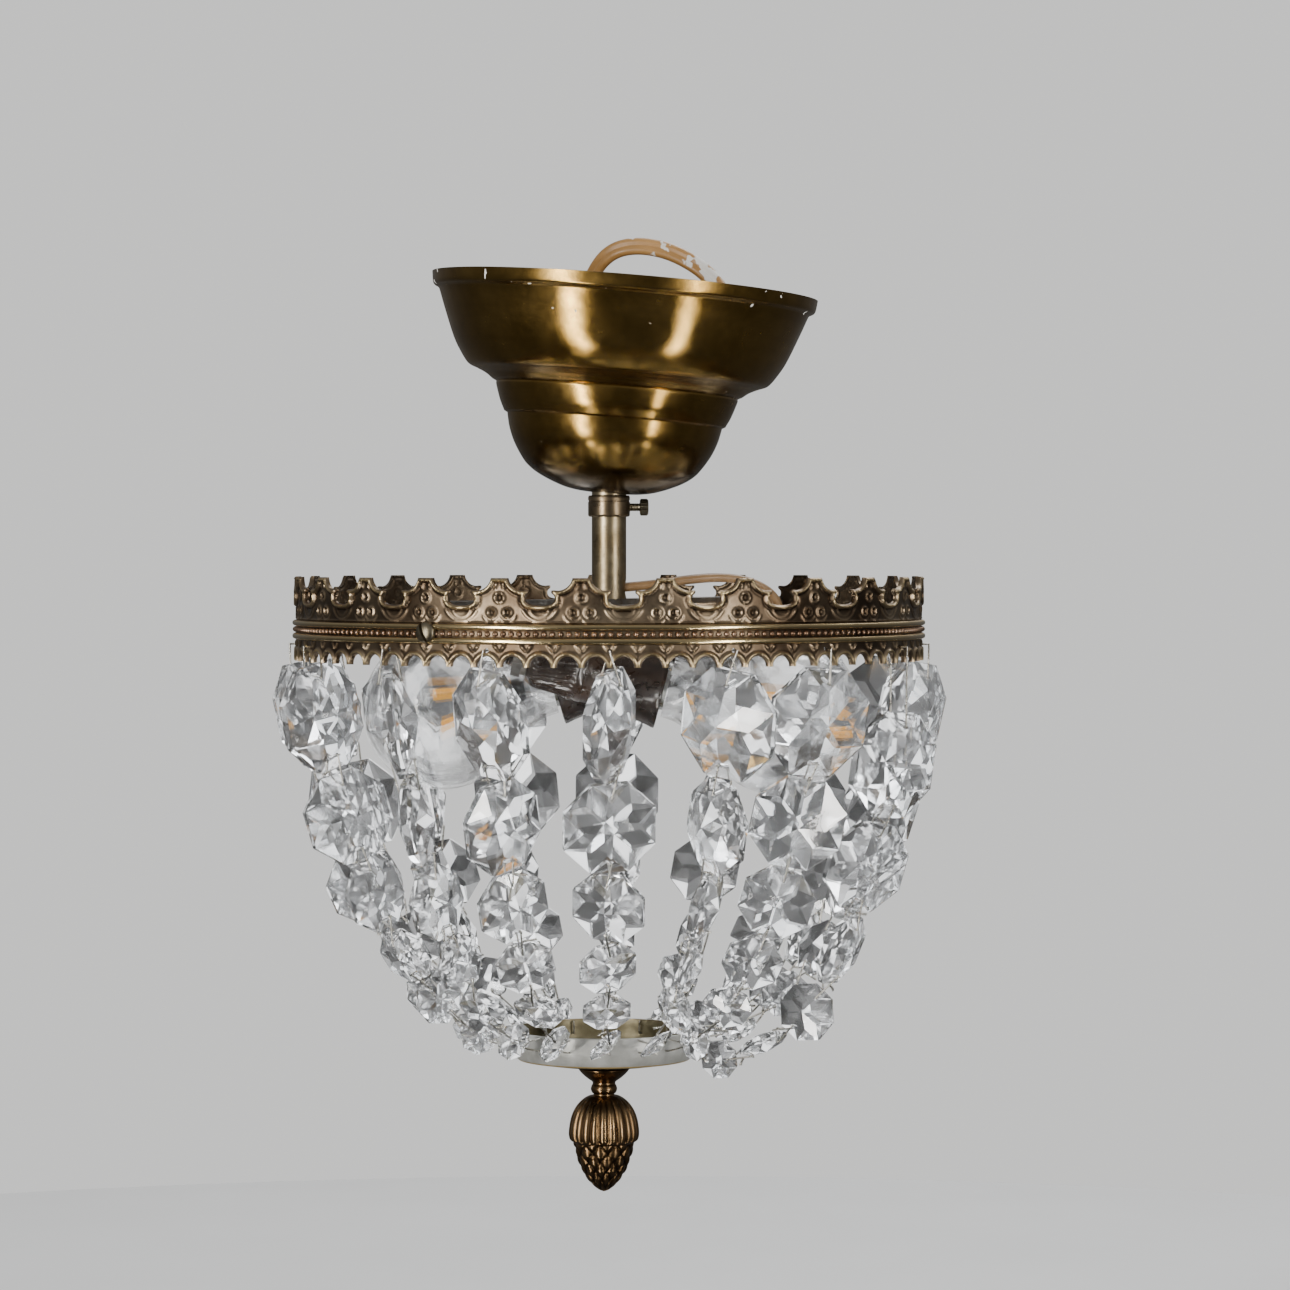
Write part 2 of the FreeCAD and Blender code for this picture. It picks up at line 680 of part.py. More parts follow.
# ---------------------------------------------------------------- bottom dish and finial
def make_dish():
    """Shallow dish with a pin hole under each string."""
    radius = dim["dish_radius"]
    profile = [(dim["stud_radius"] + 0.1, dim["dish_floor"]), (as_size(9), dim["dish_floor"] + 0.3),
               (radius - 1.0, dim["dish_wall_bottom"] - 0.5), (radius, dim["dish_wall_bottom"] + 0.3),
               (radius, dim["dish_top"])]
    dish = turned("Dish", sheet_outline(profile, dim["dish_wall"]))
    place(dish, (dim["dish_offset"], 0, 0))
    holes = []
    for number, string in enumerate(strings(), start=1):
        direction = string["outward"]
        start = string["foot"] - direction * 4
        holes.append(cylinder(f"DishHole{number:02d}", dim["dish_hole_radius"], 8,
                              (start.x, start.y, dim["dish_hole_height"]), direction))
    keep(cut("BottomDish", dish, group("DishHoles", holes)), "bottom_dish")


def make_finial():
    """Acorn finial with a threaded stud, and its nut inside the dish."""
    length = dim["finial_length"]
    profile = [(as_size(0), as_size(0)), (as_size(7), as_size(0)), (as_size(4), as_size(-3.1)),
               (as_size(3.3), as_size(-3.5)), (as_size(3.5), as_size(-7.6)), (as_size(5.9), as_size(-7.9)),
               (as_size(9.0), as_size(-11.8)), (as_size(9.05), as_size(-19.8)), (as_size(8.6), as_size(-20.5)),
               (as_size(5.9), as_size(-28.6)), (as_size(2.0), -length + 0.9), (as_size(0), -length)]
    acorn = turned("Acorn", profile, {3: -70, 5: -30, 6: -40, 8: -14, 9: -24})
    place(acorn, (dim["dish_offset"], 0, dim["dish_floor"] - 0.05))
    stud = cylinder("Stud", dim["stud_radius"], 6, (dim["dish_offset"], 0, dim["dish_floor"] - 0.5))
    keep(join("Finial", [acorn, stud]), "finial")
    nut = hexagon_nut("FinialNutBlank", as_size(8), dim["stud_radius"] + 0.02, as_size(3))
    place(nut, (dim["dish_offset"], 0, dim["dish_floor"] + dim["dish_wall"] + 0.1))
    keep(nut, "finial_nut")


# ---------------------------------------------------------------- crystals
BEAD_SIZES = (28.0, 24.0, 19.0, 15.0, 12.5, 10.0)
HANG = ((82.0, -90.5), (74.5, -117.0), (67.0, -138.0), (58.0, -154.5), (48.5, -167.0), (36.5, -177.0))
SLACK_HANG = ((83.0, -103.0), (75.5, -130.0), (68.5, -152.5), (59.0, -169.5), (46.5, -178.5), (34.0, -183.5))
SLACK_STRING = 6
# How far each front string's crystals are turned from facing the viewer, top to bottom.
FRONT_TURNS = (
    (52, 30, 50, -40, 30, 10), (90, 82, 52, 50, -30, 20), (-50, 42, 25, 5, -20, 20),
    (66, 14, -15, 15, 5, 25), (-36, -56, 66, 70, -40, 40), (28, 4, 0, 8, 10, -40),
    (40, 32, 58, -30, 60, 5),
)


def bead_turns(number, angle):
    """Turn of each crystal about the vertical, measured from facing the viewer."""
    if number < len(FRONT_TURNS):
        return FRONT_TURNS[number]
    sway = (18, -34, 48, -22, 40, -55)
    drift = (number * 37) % 50 - 25
    return [angle + sway[(row + number) % 6] * (1 if row else 0.8) + drift * 0.5 for row in range(6)]


def strings():
    """Each string's top hole, foot in the dish wall, direction and crystal centres."""
    result = []
    for number, angle in enumerate(string_angles()):
        away = outward(angle)
        top = away * (float(dim["band_radius"]) - float(dim["band_sheet"]) / 2)
        top.z = float(dim["string_hole_height"])
        foot = away * (float(dim["dish_radius"]) - float(dim["dish_wall"]) / 2)
        foot.x += float(dim["dish_offset"])
        foot.z = float(dim["dish_hole_height"])
        hang = SLACK_HANG if number == SLACK_STRING else HANG
        centres = []
        for row, (radius, height) in enumerate(hang):
            share = (row + 1) / 7
            centres.append(away * radius + Vector(float(dim["dish_offset"]) * share ** 2, 0, height))
        result.append({"outward": away, "top": top, "foot": foot, "centres": centres,
                       "turns": bead_turns(number, angle)})
    return result


def bead_height(distance, width):
    """Half thickness of a crystal on the line from its centre to the middle of a flat."""
    girdle = float(dim["bead_girdle_ratio"]) * width
    apex = float(dim["bead_apex_ratio"]) * width
    shoulder = float(dim["bead_shoulder_ratio"]) * width
    corner = width / 2 / math.cos(math.pi / 8)
    high = apex - (apex - girdle) * shoulder * math.cos(math.pi / 8) / corner
    if distance <= shoulder:
        return apex + (high - apex) * distance / shoulder
    return high + (girdle - high) * (distance - shoulder) / (width / 2 - shoulder)


def hole_distance(width):
    """Distance from a crystal's centre to each of its pin holes."""
    return width / 2 - 1.0 - 0.09 * width


def bead_solid(width):
    """An octagon crystal: eight kites from the apex and eight triangles to the girdle on each side."""
    corner_radius = width / 2 / math.cos(math.pi / 8)
    shoulder_radius = float(dim["bead_shoulder_ratio"]) * width
    girdle = float(dim["bead_girdle_ratio"]) * width
    apex_height = bead_height(0, width)
    shoulder_height = bead_height(shoulder_radius, width)

    def ring(radius, height, phase):
        angles = [math.pi / 4 * (step + phase) for step in range(8)]
        return [Vector(radius * math.cos(a), radius * math.sin(a), height) for a in angles]

    faces = []
    for side in (1, -1):
        apex = Vector(0, 0, side * apex_height)
        corners = ring(corner_radius, side * girdle, 0.5)
        shoulders = ring(shoulder_radius, side * shoulder_height, 0)
        for step in range(8):
            following = (step + 1) % 8
            faces.append(polygon([apex, shoulders[step], corners[step], shoulders[following]]))
            faces.append(polygon([shoulders[following], corners[step], corners[following]]))
    upper = ring(corner_radius, girdle, 0.5)
    lower = ring(corner_radius, -girdle, 0.5)
    for step in range(8):
        following = (step + 1) % 8
        faces.append(polygon([upper[step], upper[following], lower[following], lower[step]]))
    solid = Part.Solid(Part.makeShell(faces))
    if solid.Volume < 0:
        solid.reverse()
    radius = float(dim["bead_hole_radius"])
    for direction in (1, -1):
        start = Vector(0, direction * hole_distance(width), -width / 2)
        solid = solid.cut(Part.makeCylinder(radius, width, start, UP))
    return solid


def polygon(points):
    return Part.Face(Part.makePolygon(points + points[:1]))


def bead_frames(string):
    """Centre, downward axis and facing direction of each crystal on a string."""
    stops = [string["top"]] + string["centres"] + [string["foot"]]
    frames = []
    for row, turn in enumerate(string["turns"]):
        down = (stops[row + 2] - stops[row]).normalize()
        facing = outward(turn)
        facing = (facing - down * facing.dot(down)).normalize()
        frames.append((stops[row + 1], down, facing))
    return frames


def rod(start, end, radius):
    along = end - start
    return Part.makeCylinder(radius, along.Length, start, along)


def bent_wire(points, radius):
    """A wire of straight rods with ball joints at its corners."""
    pieces = [rod(here, after, radius) for here, after in zip(points, points[1:])]
    balls = [Part.makeSphere(radius, point) for point in points[1:-1]]
    return pieces[0].multiFuse(pieces[1:] + balls)


def pin_shapes(string, frames):
    """The wire pins of one string: band to first crystal, crystal to crystal, last to dish."""
    radius = float(dim["pin_radius"])
    away = string["outward"]
    pins = []
    ends = []
    for (centre, down, facing), width in zip(frames, BEAD_SIZES):
        distance = hole_distance(width)
        gap = bead_height(distance, width) + 0.45
        ends.append((centre - down * distance, centre + down * distance, facing * gap))
    upper, _, spread = ends[0]
    if spread.dot(away) < 0:
        spread = spread * -1
    pins.append(bent_wire([upper + spread, string["top"] + away * 2.6, string["top"] - away * 2.0,
                           upper - spread, upper + spread, upper + spread * 1.2], radius))
    for (_, lower, spread), (upper, _, following) in zip(ends, ends[1:]):
        if spread.dot(following) < 0:
            following = following * -1
        pins.append(bent_wire([lower + spread * 1.25, lower + spread, upper + following,
                               upper - following, lower - spread, lower + spread], radius))
    _, lower, spread = ends[-1]
    if spread.dot(away) < 0:
        spread = spread * -1
    foot = string["foot"]
    rim = Vector(0, 0, float(dim["dish_top"]) - foot.z + 0.8)
    pins.append(bent_wire([lower + spread, foot + away * 1.4, foot - away * 1.4,
                           foot - away * 1.4 + rim, foot + away * 0.8 + rim, lower - spread,
                           lower + spread, lower + spread * 1.25], radius))
    return pins


def make_strings():
    """Sixteen strings of six graded crystals, and the pins that hold them."""
    blanks = {width: bead_solid(width) for width in BEAD_SIZES}
    for number, string in enumerate(strings(), start=1):
        frames = bead_frames(string)
        beads = []
        for (centre, down, facing), width in zip(frames, BEAD_SIZES):
            side = facing.cross(down)
            turn = Rotation(side, down * -1, facing * 1, "ZXY")
            bead = blanks[width].copy()
            bead.Placement = Placement(centre, turn)
            beads.append(bead)
        crystals = doc.addObject("Part::Feature", f"Crystals{number:02d}")
        crystals.Shape = Part.makeCompound(beads)
        keep(crystals, f"crystals_{number:02d}")
        pins = doc.addObject("Part::Feature", f"Pins{number:02d}")
        pins.Shape = Part.makeCompound(pin_shapes(string, frames))
        keep(pins, f"pins_{number:02d}")


# ---------------------------------------------------------------- build, check and write
def check_and_write():
    doc.recompute()
    for obj in doc.Objects:
        if any(word in obj.State for word in ("Invalid", "Error")):
            raise RuntimeError(f"{obj.Label} failed: {obj.State}")
    os.makedirs("parts", exist_ok=True)
    for obj in parts:
        shape = obj.Shape
        if shape.isNull() or not shape.isValid() or not shape.Solids:
            raise RuntimeError(f"{obj.Label} is not a valid solid")
        print(f"{obj.Label}: {len(shape.Solids)} solids, {shape.Volume:.0f} cubic mm")
        shape.exportStep(f"parts/{obj.Label}.step")
    print(f"{len(parts)} sub-parts written")


make_canopy()
make_stem()
make_hanging_loop()
make_collar()
make_spider_bar()
make_bracket()
make_nuts()
make_band()
make_band_screws()
make_lamps()
make_cords()
make_dish()
make_finial()
make_strings()
check_and_write()
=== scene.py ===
import math

import bmesh
import bpy
import numpy as np
from mathutils import Matrix, Vector


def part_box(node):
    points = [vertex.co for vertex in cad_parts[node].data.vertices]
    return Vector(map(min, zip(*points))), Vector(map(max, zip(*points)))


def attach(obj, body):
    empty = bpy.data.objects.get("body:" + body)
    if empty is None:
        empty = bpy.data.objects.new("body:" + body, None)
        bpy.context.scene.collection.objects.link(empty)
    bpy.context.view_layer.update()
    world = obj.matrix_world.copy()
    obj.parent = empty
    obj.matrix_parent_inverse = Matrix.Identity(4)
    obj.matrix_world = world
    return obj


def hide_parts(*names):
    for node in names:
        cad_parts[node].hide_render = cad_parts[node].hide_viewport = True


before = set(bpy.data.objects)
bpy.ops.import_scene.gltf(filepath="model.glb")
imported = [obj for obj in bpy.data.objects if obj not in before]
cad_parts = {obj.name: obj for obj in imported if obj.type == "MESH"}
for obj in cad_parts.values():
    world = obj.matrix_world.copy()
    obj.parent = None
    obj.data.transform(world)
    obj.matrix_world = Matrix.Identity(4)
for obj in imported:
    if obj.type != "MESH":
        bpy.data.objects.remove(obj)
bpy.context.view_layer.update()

MM = 0.001
TAU = 2 * math.pi


# ---- camera: a long lens a little above the middle
camera = bpy.data.objects.new("viewer", bpy.data.cameras.new("viewer"))
bpy.context.scene.collection.objects.link(camera)
camera.location = (0.0098, -1.13, -0.0472)
camera.rotation_euler = (math.radians(88.737), 0, 0)
camera.data.lens = 115.8
camera.data.sensor_width = 36
bpy.context.scene.camera = camera


# ---- node materials
def is_socket(value):
    return isinstance(value, bpy.types.NodeSocket)


def node(kind, inputs, tree=None, **settings):
    """A shader node in the given tree, or in that of its sockets, its inputs linked or set."""
    if tree is None:
        tree = next(value for value in inputs.values() if is_socket(value)).id_data
    made = tree.nodes.new("ShaderNode" + kind)
    for key, value in settings.items():
        setattr(made, key, value)
    for key, value in inputs.items():
        if is_socket(value):
            tree.links.new(value, made.inputs[key])
        else:
            made.inputs[key].default_value = value
    return made


def noise(place, scale, detail=4.0, rough=0.55):
    return node("TexNoise", {"Vector": place, "Scale": scale, "Detail": detail,
                                             "Roughness": rough}).outputs["Fac"]


def ramp(factor, *stops):
    """Colours or greys at places from 0 to 1."""
    made = node("ValToRGB", {"Fac": factor})
    elements = made.color_ramp.elements
    while len(elements) < len(stops):
        elements.new(0.5)
    for element, (position, colour) in zip(elements, stops):
        element.position = position
        element.color = (colour, colour, colour, 1) if isinstance(colour, float) else (*colour, 1)
    return made.outputs["Color"]


def cloudy(place, scale, dark, light, detail=4.0, rough=0.55):
    """Noise that runs from one grey or colour to another."""
    return ramp(noise(place, scale, detail, rough), (0.3, dark), (0.7, light))


def part_of_way(value, low, high):
    """0 where the value is low or less, and 1 where it is high or more."""
    return node("MapRange", {"Value": value, "From Min": low, "From Max": high}).outputs[0]


def blend(factor, first, second):
    first, second = (value if is_socket(value) else (*value, 1) for value in (first, second))
    return node("MixRGB", {"Fac": factor, "Color1": first, "Color2": second}).outputs["Color"]


def calc(operation, first, second=0.0):
    return node("Math", {0: first, 1: second}, operation=operation).outputs[0]


def stretched(place, turn=(0, 0, 0), scale=(1, 1, 1)):
    return node("Mapping", {"Vector": place, "Rotation": turn, "Scale": scale}).outputs["Vector"]


ANGLE_SHARE = 0.0006


def round_axis(place):
    """Coordinates (radius, height, a little of the angle), so that marks run round a turned part."""
    x, y, z = node("SeparateXYZ", {"Vector": place}).outputs
    radius = calc("SQRT", calc("ADD", calc("MULTIPLY", x, x), calc("MULTIPLY", y, y)))
    angle = calc("MULTIPLY", calc("ARCTAN2", y, x), ANGLE_SHARE)
    return node("CombineXYZ", {"X": radius, "Y": z, "Z": angle}).outputs["Vector"]


def bump(height, strength, distance, **below):
    """A bump, which lies on another one if Normal is given."""
    inputs = {"Height": height, "Strength": strength, "Distance": distance, **below}
    return node("Bump", inputs).outputs["Normal"]


def start_material(name, **sockets):
    """A Principled material, its even values set on the shader itself."""
    made = bpy.data.materials.new(name)
    made.use_nodes = True
    tree = made.node_tree
    shader = tree.nodes["Principled BSDF"]
    for key, value in sockets.items():
        shader.inputs[key.replace("_", " ")].default_value = value
    place = node("TexCoord", {}, tree).outputs["Object"]
    return made, shader, place


def feed(shader, **sockets):
    for key, value in sockets.items():
        shader.id_data.links.new(value, shader.inputs[key.replace("_", " ")])


def fed(shader, key):
    """The socket that feeds a shader input."""
    return shader.inputs[key].links[0].from_socket


BLACK_DIRT = (0.02, 0.013, 0.008)


def old_brass(name, dark, light, gloss=(0.24, 0.46), round_marks=False, tilt=0.0, wear_and_highlight=None, deep=BLACK_DIRT,
              spots=0.35):
    """Patinated brass: cloudy tone, small dark spots and fine scratches, laid round a part leaning by tilt if
    round_marks. wear_and_highlight colours raised edges, rubbed bright and painted as a highlight; deep is the
    dirt in spots and the painted shade low in the relief."""
    made, shader, place = start_material(name, Metallic=1.0)
    cloud = noise(place, 55.0, 5.0, 0.6)
    colour = ramp(cloud, (0.32, dark), (0.68, light))
    speckle = ramp(noise(place, 420.0, 3.0, 0.6), (0.58, 0.0), (0.74, spots))
    colour = blend(speckle, colour, deep)
    if round_marks:
        turned_place = round_axis(stretched(place, turn=(0, tilt, 0)))
        marks = noise(turned_place, 2600.0, 3.0, 0.7)
        colour = blend(ramp(marks, (0.35, 0.0), (0.75, 0.3)), colour, light)
        bands = ramp(noise(turned_place, 330.0, 2.0, 0.5), (0.45, 0.0), (0.75, 0.3))
        colour = blend(bands, colour, dark)
    else:
        marks = noise(stretched(place, (0.2, 0.1, 0.7), (1.0, 1.0, 0.15)), 900.0, 3.0, 0.7)
    roughness = cloudy(place, 140.0, *gloss, 4.0, 0.65)
    if wear_and_highlight:
        relief = node("Attribute", {}, place.id_data, attribute_name="relief").outputs["Fac"]
        uneven = calc("ADD", relief, calc("MULTIPLY", calc("SUBTRACT", cloud, 0.5), 0.5))
        # Painted shade darkens the colour low in the relief, and a painted highlight brightens it high in the
        # relief.
        colour = blend(ramp(uneven, (0.12, 0.85), (0.45, 0.0)), colour, deep)
        colour = blend(ramp(uneven, (0.6, 0.0), (0.95, 0.75)), colour, wear_and_highlight)
        polished = ramp(relief, (0.93, 0.0), (0.99, 0.85))
        roughness = blend(polished, roughness, (0.16, 0.16, 0.16))
    normal = bump(marks, 0.12, 0.0001)
    normal = bump(noise(place, 260.0, 4.0, 0.6), 0.16, 0.0002, Normal=normal)
    feed(shader, Base_Color=colour, Roughness=roughness, Normal=normal)
    return made, shader, place


PAINT_WHITE = (0.72, 0.71, 0.68)
PAINT_ROUGHNESS = (0.75, 0.75, 0.75)


def painted_spots(made, shader, mask):
    """White paint left where mask is 1: pale, rough and not metal."""
    feed(shader, Base_Color=blend(mask, fed(shader, "Base Color"), PAINT_WHITE),
         Roughness=blend(mask, fed(shader, "Roughness"), PAINT_ROUGHNESS))
    if shader.inputs["Metallic"].default_value > 0.5:
        feed(shader, Metallic=calc("SUBTRACT", 1.0, mask))
    return made


CANOPY_TILT = math.radians(4.5)
CANOPY_BOTTOM = -30.8


def make_canopy_brass():
    """Polished brass, darker towards the bottom, with paint flecks that thicken towards the rim."""
    made, shader, place = old_brass("canopy_brass_aged", (0.17, 0.10, 0.024), (0.34, 0.215, 0.062),
                                          gloss=(0.17, 0.28), round_marks=True, tilt=-CANOPY_TILT, spots=0.12)
    upright = stretched(place, turn=(0, -CANOPY_TILT, 0))
    level = node("SeparateXYZ", {"Vector": upright}).outputs["Z"]
    shade = ramp(part_of_way(level, -0.032, -0.015), (0.1, 0.82), (1.0, 0.0))
    feed(shader, Base_Color=blend(shade, fed(shader, "Base Color"), (0.02, 0.012, 0.004)))
    near_rim = part_of_way(level, 0.006, 0.0265)
    flecks = noise(place, 330.0, 2.0, 0.5)
    flakes = calc("ADD", flecks, calc("MULTIPLY", near_rim, 0.1))
    return painted_spots(made, shader, ramp(flakes, (0.8, 0.0), (0.82, 1.0)))


def make_steel():
    """Zinc-coated steel with patches of rust."""
    made, shader, place = start_material("zinc_steel", Metallic=1.0)
    colour = cloudy(place, 160.0, (0.20, 0.18, 0.15), (0.42, 0.40, 0.37), 5.0, 0.7)
    rust = ramp(noise(place, 90.0, 6.0, 0.7), (0.58, 0.0), (0.72, 0.6))
    feed(shader, Base_Color=blend(rust, colour, (0.13, 0.06, 0.025)),
         Roughness=cloudy(place, 240.0, 0.3, 0.55),
         Normal=bump(noise(place, 900.0), 0.15, 0.0001))
    return made


def make_plain(name, tone, gloss, grain, **sockets):
    """An even finish: tone and gloss are (scale, dark, light), and grain is (scale, strength)."""
    made, shader, place = start_material(name, **sockets)
    feed(shader, Base_Color=cloudy(place, *tone), Roughness=cloudy(place, *gloss),
         Normal=bump(noise(place, grain[0]), grain[1], 0.0001))
    return made


def make_plain_metal(name, dark, light, gloss):
    return make_plain(name, (300.0, dark, light, 4.0, 0.6), (500.0, *gloss), (1500.0, 0.1), Metallic=1.0)


def make_bakelite():
    made, shader, place = start_material("brown_bakelite", Coat_Weight=0.3, Coat_Roughness=0.12)
    flow = stretched(place, scale=(0.4, 1, 1))
    brown = cloudy(flow, 130.0, (0.014, 0.009, 0.006), (0.045, 0.026, 0.016), 5.0, 0.65)
    feed(shader, Base_Color=brown, Roughness=cloudy(place, 300.0, 0.2, 0.42),
         Normal=bump(noise(place, 500.0), 0.08, 0.0002))
    return made


def make_crystal():
    """Cut glass with a faint greasy film, small scratches and a slightly cool body."""
    made, shader, place = start_material("cut_crystal", Transmission_Weight=0.96, IOR=1.52)
    film = noise(place, 190.0, 5.0, 0.65)
    scratches = noise(stretched(place, (0.3, 0.8, 0.1), (1, 0.12, 1)), 1400.0)
    feed(shader, Base_Color=ramp(film, (0.3, (0.93, 0.95, 0.965)), (0.7, (0.985, 0.99, 1.0))),
         Roughness=ramp(film, (0.45, 0.01), (0.78, 0.07)), Normal=bump(scratches, 0.03, 0.0001))
    return made


def make_lamp_glass():
    """Thin clear glass with smudges, partly see-through so that the filaments show."""
    made, shader, place = start_material("lamp_glass_clear", Transmission_Weight=1.0, IOR=1.46, Alpha=0.3)
    smudge = noise(place, 70.0, 5.0, 0.7)
    feed(shader, Base_Color=ramp(smudge, (0.35, (0.9, 0.92, 0.93)), (0.7, (0.98, 0.985, 0.99))),
         Roughness=ramp(smudge, (0.5, 0.0), (0.75, 0.05)),
         Normal=bump(noise(place, 60.0, 1.0), 0.015, 0.0004))
    return made


def make_amber():
    # The strips carry a faint painted glow: they give off light in their own amber colour.
    made, shader, place = start_material("amber_filament_painted_glow", Emission_Strength=0.35)
    grain = noise(place, 2200.0, 3.0, 0.6)
    colour = ramp(grain, (0.3, (0.80, 0.33, 0.025)), (0.7, (0.98, 0.52, 0.07)))
    feed(shader, Base_Color=colour, Emission_Color=colour,
         Roughness=ramp(grain, (0.3, 0.35), (0.7, 0.55)), Normal=bump(grain, 0.2, 0.0001))
    return made


def make_flex(name, light, dark, paint):
    """Aged plastic sheath, with white paint towards the right if paint is true."""
    made, shader, place = start_material(name, Specular_IOR_Level=0.5)
    aged = noise(place, 60.0, 5.0, 0.65)
    colour = ramp(aged, (0.3, dark), (0.68, light))
    grime = ramp(noise(place, 500.0, 4.0, 0.7), (0.6, 0.0), (0.8, 0.4))
    feed(shader, Base_Color=blend(grime, colour, (0.16, 0.09, 0.045)),
         Roughness=cloudy(place, 210.0, 0.28, 0.5),
         Normal=bump(noise(place, 800.0), 0.12, 0.0002))
    if not paint:
        return made
    x = node("SeparateXYZ", {"Vector": place}).outputs["X"]
    right = part_of_way(x, 0.015, 0.026)
    patches = calc("ADD", noise(place, 260.0, 2.0, 0.5), calc("MULTIPLY", right, 0.16))
    return painted_spots(made, shader, ramp(patches, (0.66, 0.0), (0.685, 1.0)))


# The dish's relief attribute says which face a point is on.
DISH_INSIDE, DISH_UNDER, DISH_EDGE, DISH_RIM, DISH_OUTSIDE = 0.0, 0.5, 0.75, 0.9, 1.0


def make_dish_metal():
    """Pale grey outside, olive brown inside as painted shade, a painted shadow below, and a bright line along
    the lower edge.
    """
    made, shader, place = start_material("dish_satin", Metallic=0.55)
    face = node("Attribute", {}, place.id_data, attribute_name="relief").outputs["Fac"]
    worn = noise(place, 120.0, 5.0, 0.65)
    grey = ramp(worn, (0.3, (0.36, 0.36, 0.33)), (0.7, (0.56, 0.565, 0.54)))
    # The olive brown inside is painted shade, and the near-black underside below is a painted shadow.
    olive = ramp(worn, (0.3, (0.10, 0.085, 0.04)), (0.7, (0.22, 0.19, 0.11)))
    below = ramp(face, (0.6, (0.05, 0.036, 0.017)), (0.7, (0.42, 0.30, 0.12)))
    colour = blend(ramp(face, (0.2, 0.0), (0.3, 1.0)), olive, below)
    colour = blend(ramp(face, (0.8, 0.0), (0.88, 1.0)), colour, grey)
    feed(shader, Base_Color=colour, Roughness=cloudy(place, 260.0, 0.34, 0.52),
         Normal=bump(noise(place, 700.0), 0.1, 0.0002))
    return made


canopy_brass = make_canopy_brass()
stem_brass = old_brass("stem_brass_worn", (0.24, 0.18, 0.10), (0.46, 0.39, 0.26),
                       round_marks=True, spots=0.6)[0]
collar_brass = old_brass("collar_brass_dull", (0.13, 0.095, 0.055), (0.30, 0.235, 0.155), round_marks=True)[0]
# The gallery brass darkens low in its relief with painted shade and brightens on its raised parts with a painted
# highlight.
crown_brass = old_brass("gallery_brass_stamped", (0.21, 0.145, 0.09), (0.33, 0.26, 0.175),
                        gloss=(0.3, 0.46), wear_and_highlight=(0.66, 0.52, 0.27), deep=(0.03, 0.019, 0.012))[0]
pearl_brass = old_brass("pearl_brass_rosy", (0.20, 0.12, 0.075), (0.38, 0.26, 0.18), gloss=(0.26, 0.42))[0]
screw_brass = old_brass("screw_brass_dark", (0.10, 0.085, 0.055), (0.24, 0.21, 0.15),
                        gloss=(0.3, 0.5), spots=0.6)[0]
# The finial brass carries painted shade in its grooves and a painted highlight on its crests.
finial_brass = old_brass("finial_brass_cast", (0.095, 0.055, 0.024), (0.19, 0.12, 0.06),
                         gloss=(0.24, 0.4), wear_and_highlight=(0.36, 0.24, 0.125), deep=(0.014, 0.008, 0.004))[0]
steel = make_steel()
bakelite = make_bakelite()
black_plastic = make_plain("black_collar", (1500.0, 0.006, (0.02, 0.019, 0.018)), (200.0, 0.25, 0.45),
                           (1500.0, 0.1))
contact_metal = make_plain_metal("contact_brass_plain", (0.42, 0.32, 0.13), (0.62, 0.5, 0.25), (0.25, 0.45))
shell_metal = make_plain_metal("lamp_shell_nickel", (0.45, 0.45, 0.43), (0.68, 0.68, 0.66), (0.2, 0.4))
copper = make_plain_metal("bare_copper_strands", (0.42, 0.19, 0.10), (0.74, 0.41, 0.26), (0.25, 0.45))
pin_metal = make_plain_metal("pin_wire_steel", (0.34, 0.32, 0.28), (0.62, 0.60, 0.55), (0.2, 0.38))
crystal = make_crystal()
lamp_glass = make_lamp_glass()
amber = make_amber()
supply_flex = make_flex("flex_beige_painted", (0.46, 0.26, 0.095), (0.31, 0.165, 0.05), True)
inner_flex = make_flex("flex_beige_dull", (0.33, 0.20, 0.09), (0.21, 0.12, 0.05), False)
dish_metal = make_dish_metal()


# ---- mesh helpers, all sizes in mm
def piece(name, points, faces, material, body, slot, nodes=(), sharp=40.0, relief=None):
    """A mesh object that rides on a body and stands for the named CAD nodes. Edges bent by more than sharp
    degrees stay crisp. relief is one value per point, for the material."""
    mesh = bpy.data.meshes.new(name)
    mesh.from_pydata((np.asarray(points, float) * MM).tolist(), [], faces)
    shell = bmesh.new()
    shell.from_mesh(mesh)
    bmesh.ops.recalc_face_normals(shell, faces=shell.faces)
    shell.to_mesh(mesh)
    shell.free()
    if relief is not None:
        values = mesh.attributes.new("relief", "FLOAT", "POINT").data
        values.foreach_set("value", np.asarray(relief, np.float32))
    mesh.shade_smooth()
    mesh.set_sharp_from_angle(angle=math.radians(sharp))
    mesh.materials.append(material)
    obj = bpy.data.objects.new(name, mesh)
    bpy.context.scene.collection.objects.link(obj)
    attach(obj, body)
    if nodes:
        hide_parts(*nodes)
    return obj


def merge(shapes):
    """Several (points, faces) pairs as one."""
    points, faces, count = [], [], 0
    for some, more in shapes:
        points.append(np.asarray(some, float))
        faces += [[corner + count for corner in face] for face in more]
        count += len(some)
    return np.vstack(points), faces


def basis(axis, origin=(0, 0, 0), near=(0, 1, 0)):
    """4x4 array whose local Z is the axis."""
    z = np.asarray(axis, float) / np.linalg.norm(axis)
    x = np.cross(near, z)
    x /= np.linalg.norm(x)
    made = np.eye(4)
    made[:3, 0], made[:3, 1], made[:3, 2], made[:3, 3] = x, np.cross(z, x), z, origin
    return made


def moved(points, matrix):
    return np.asarray(points, float) @ matrix[:3, :3].T + matrix[:3, 3]


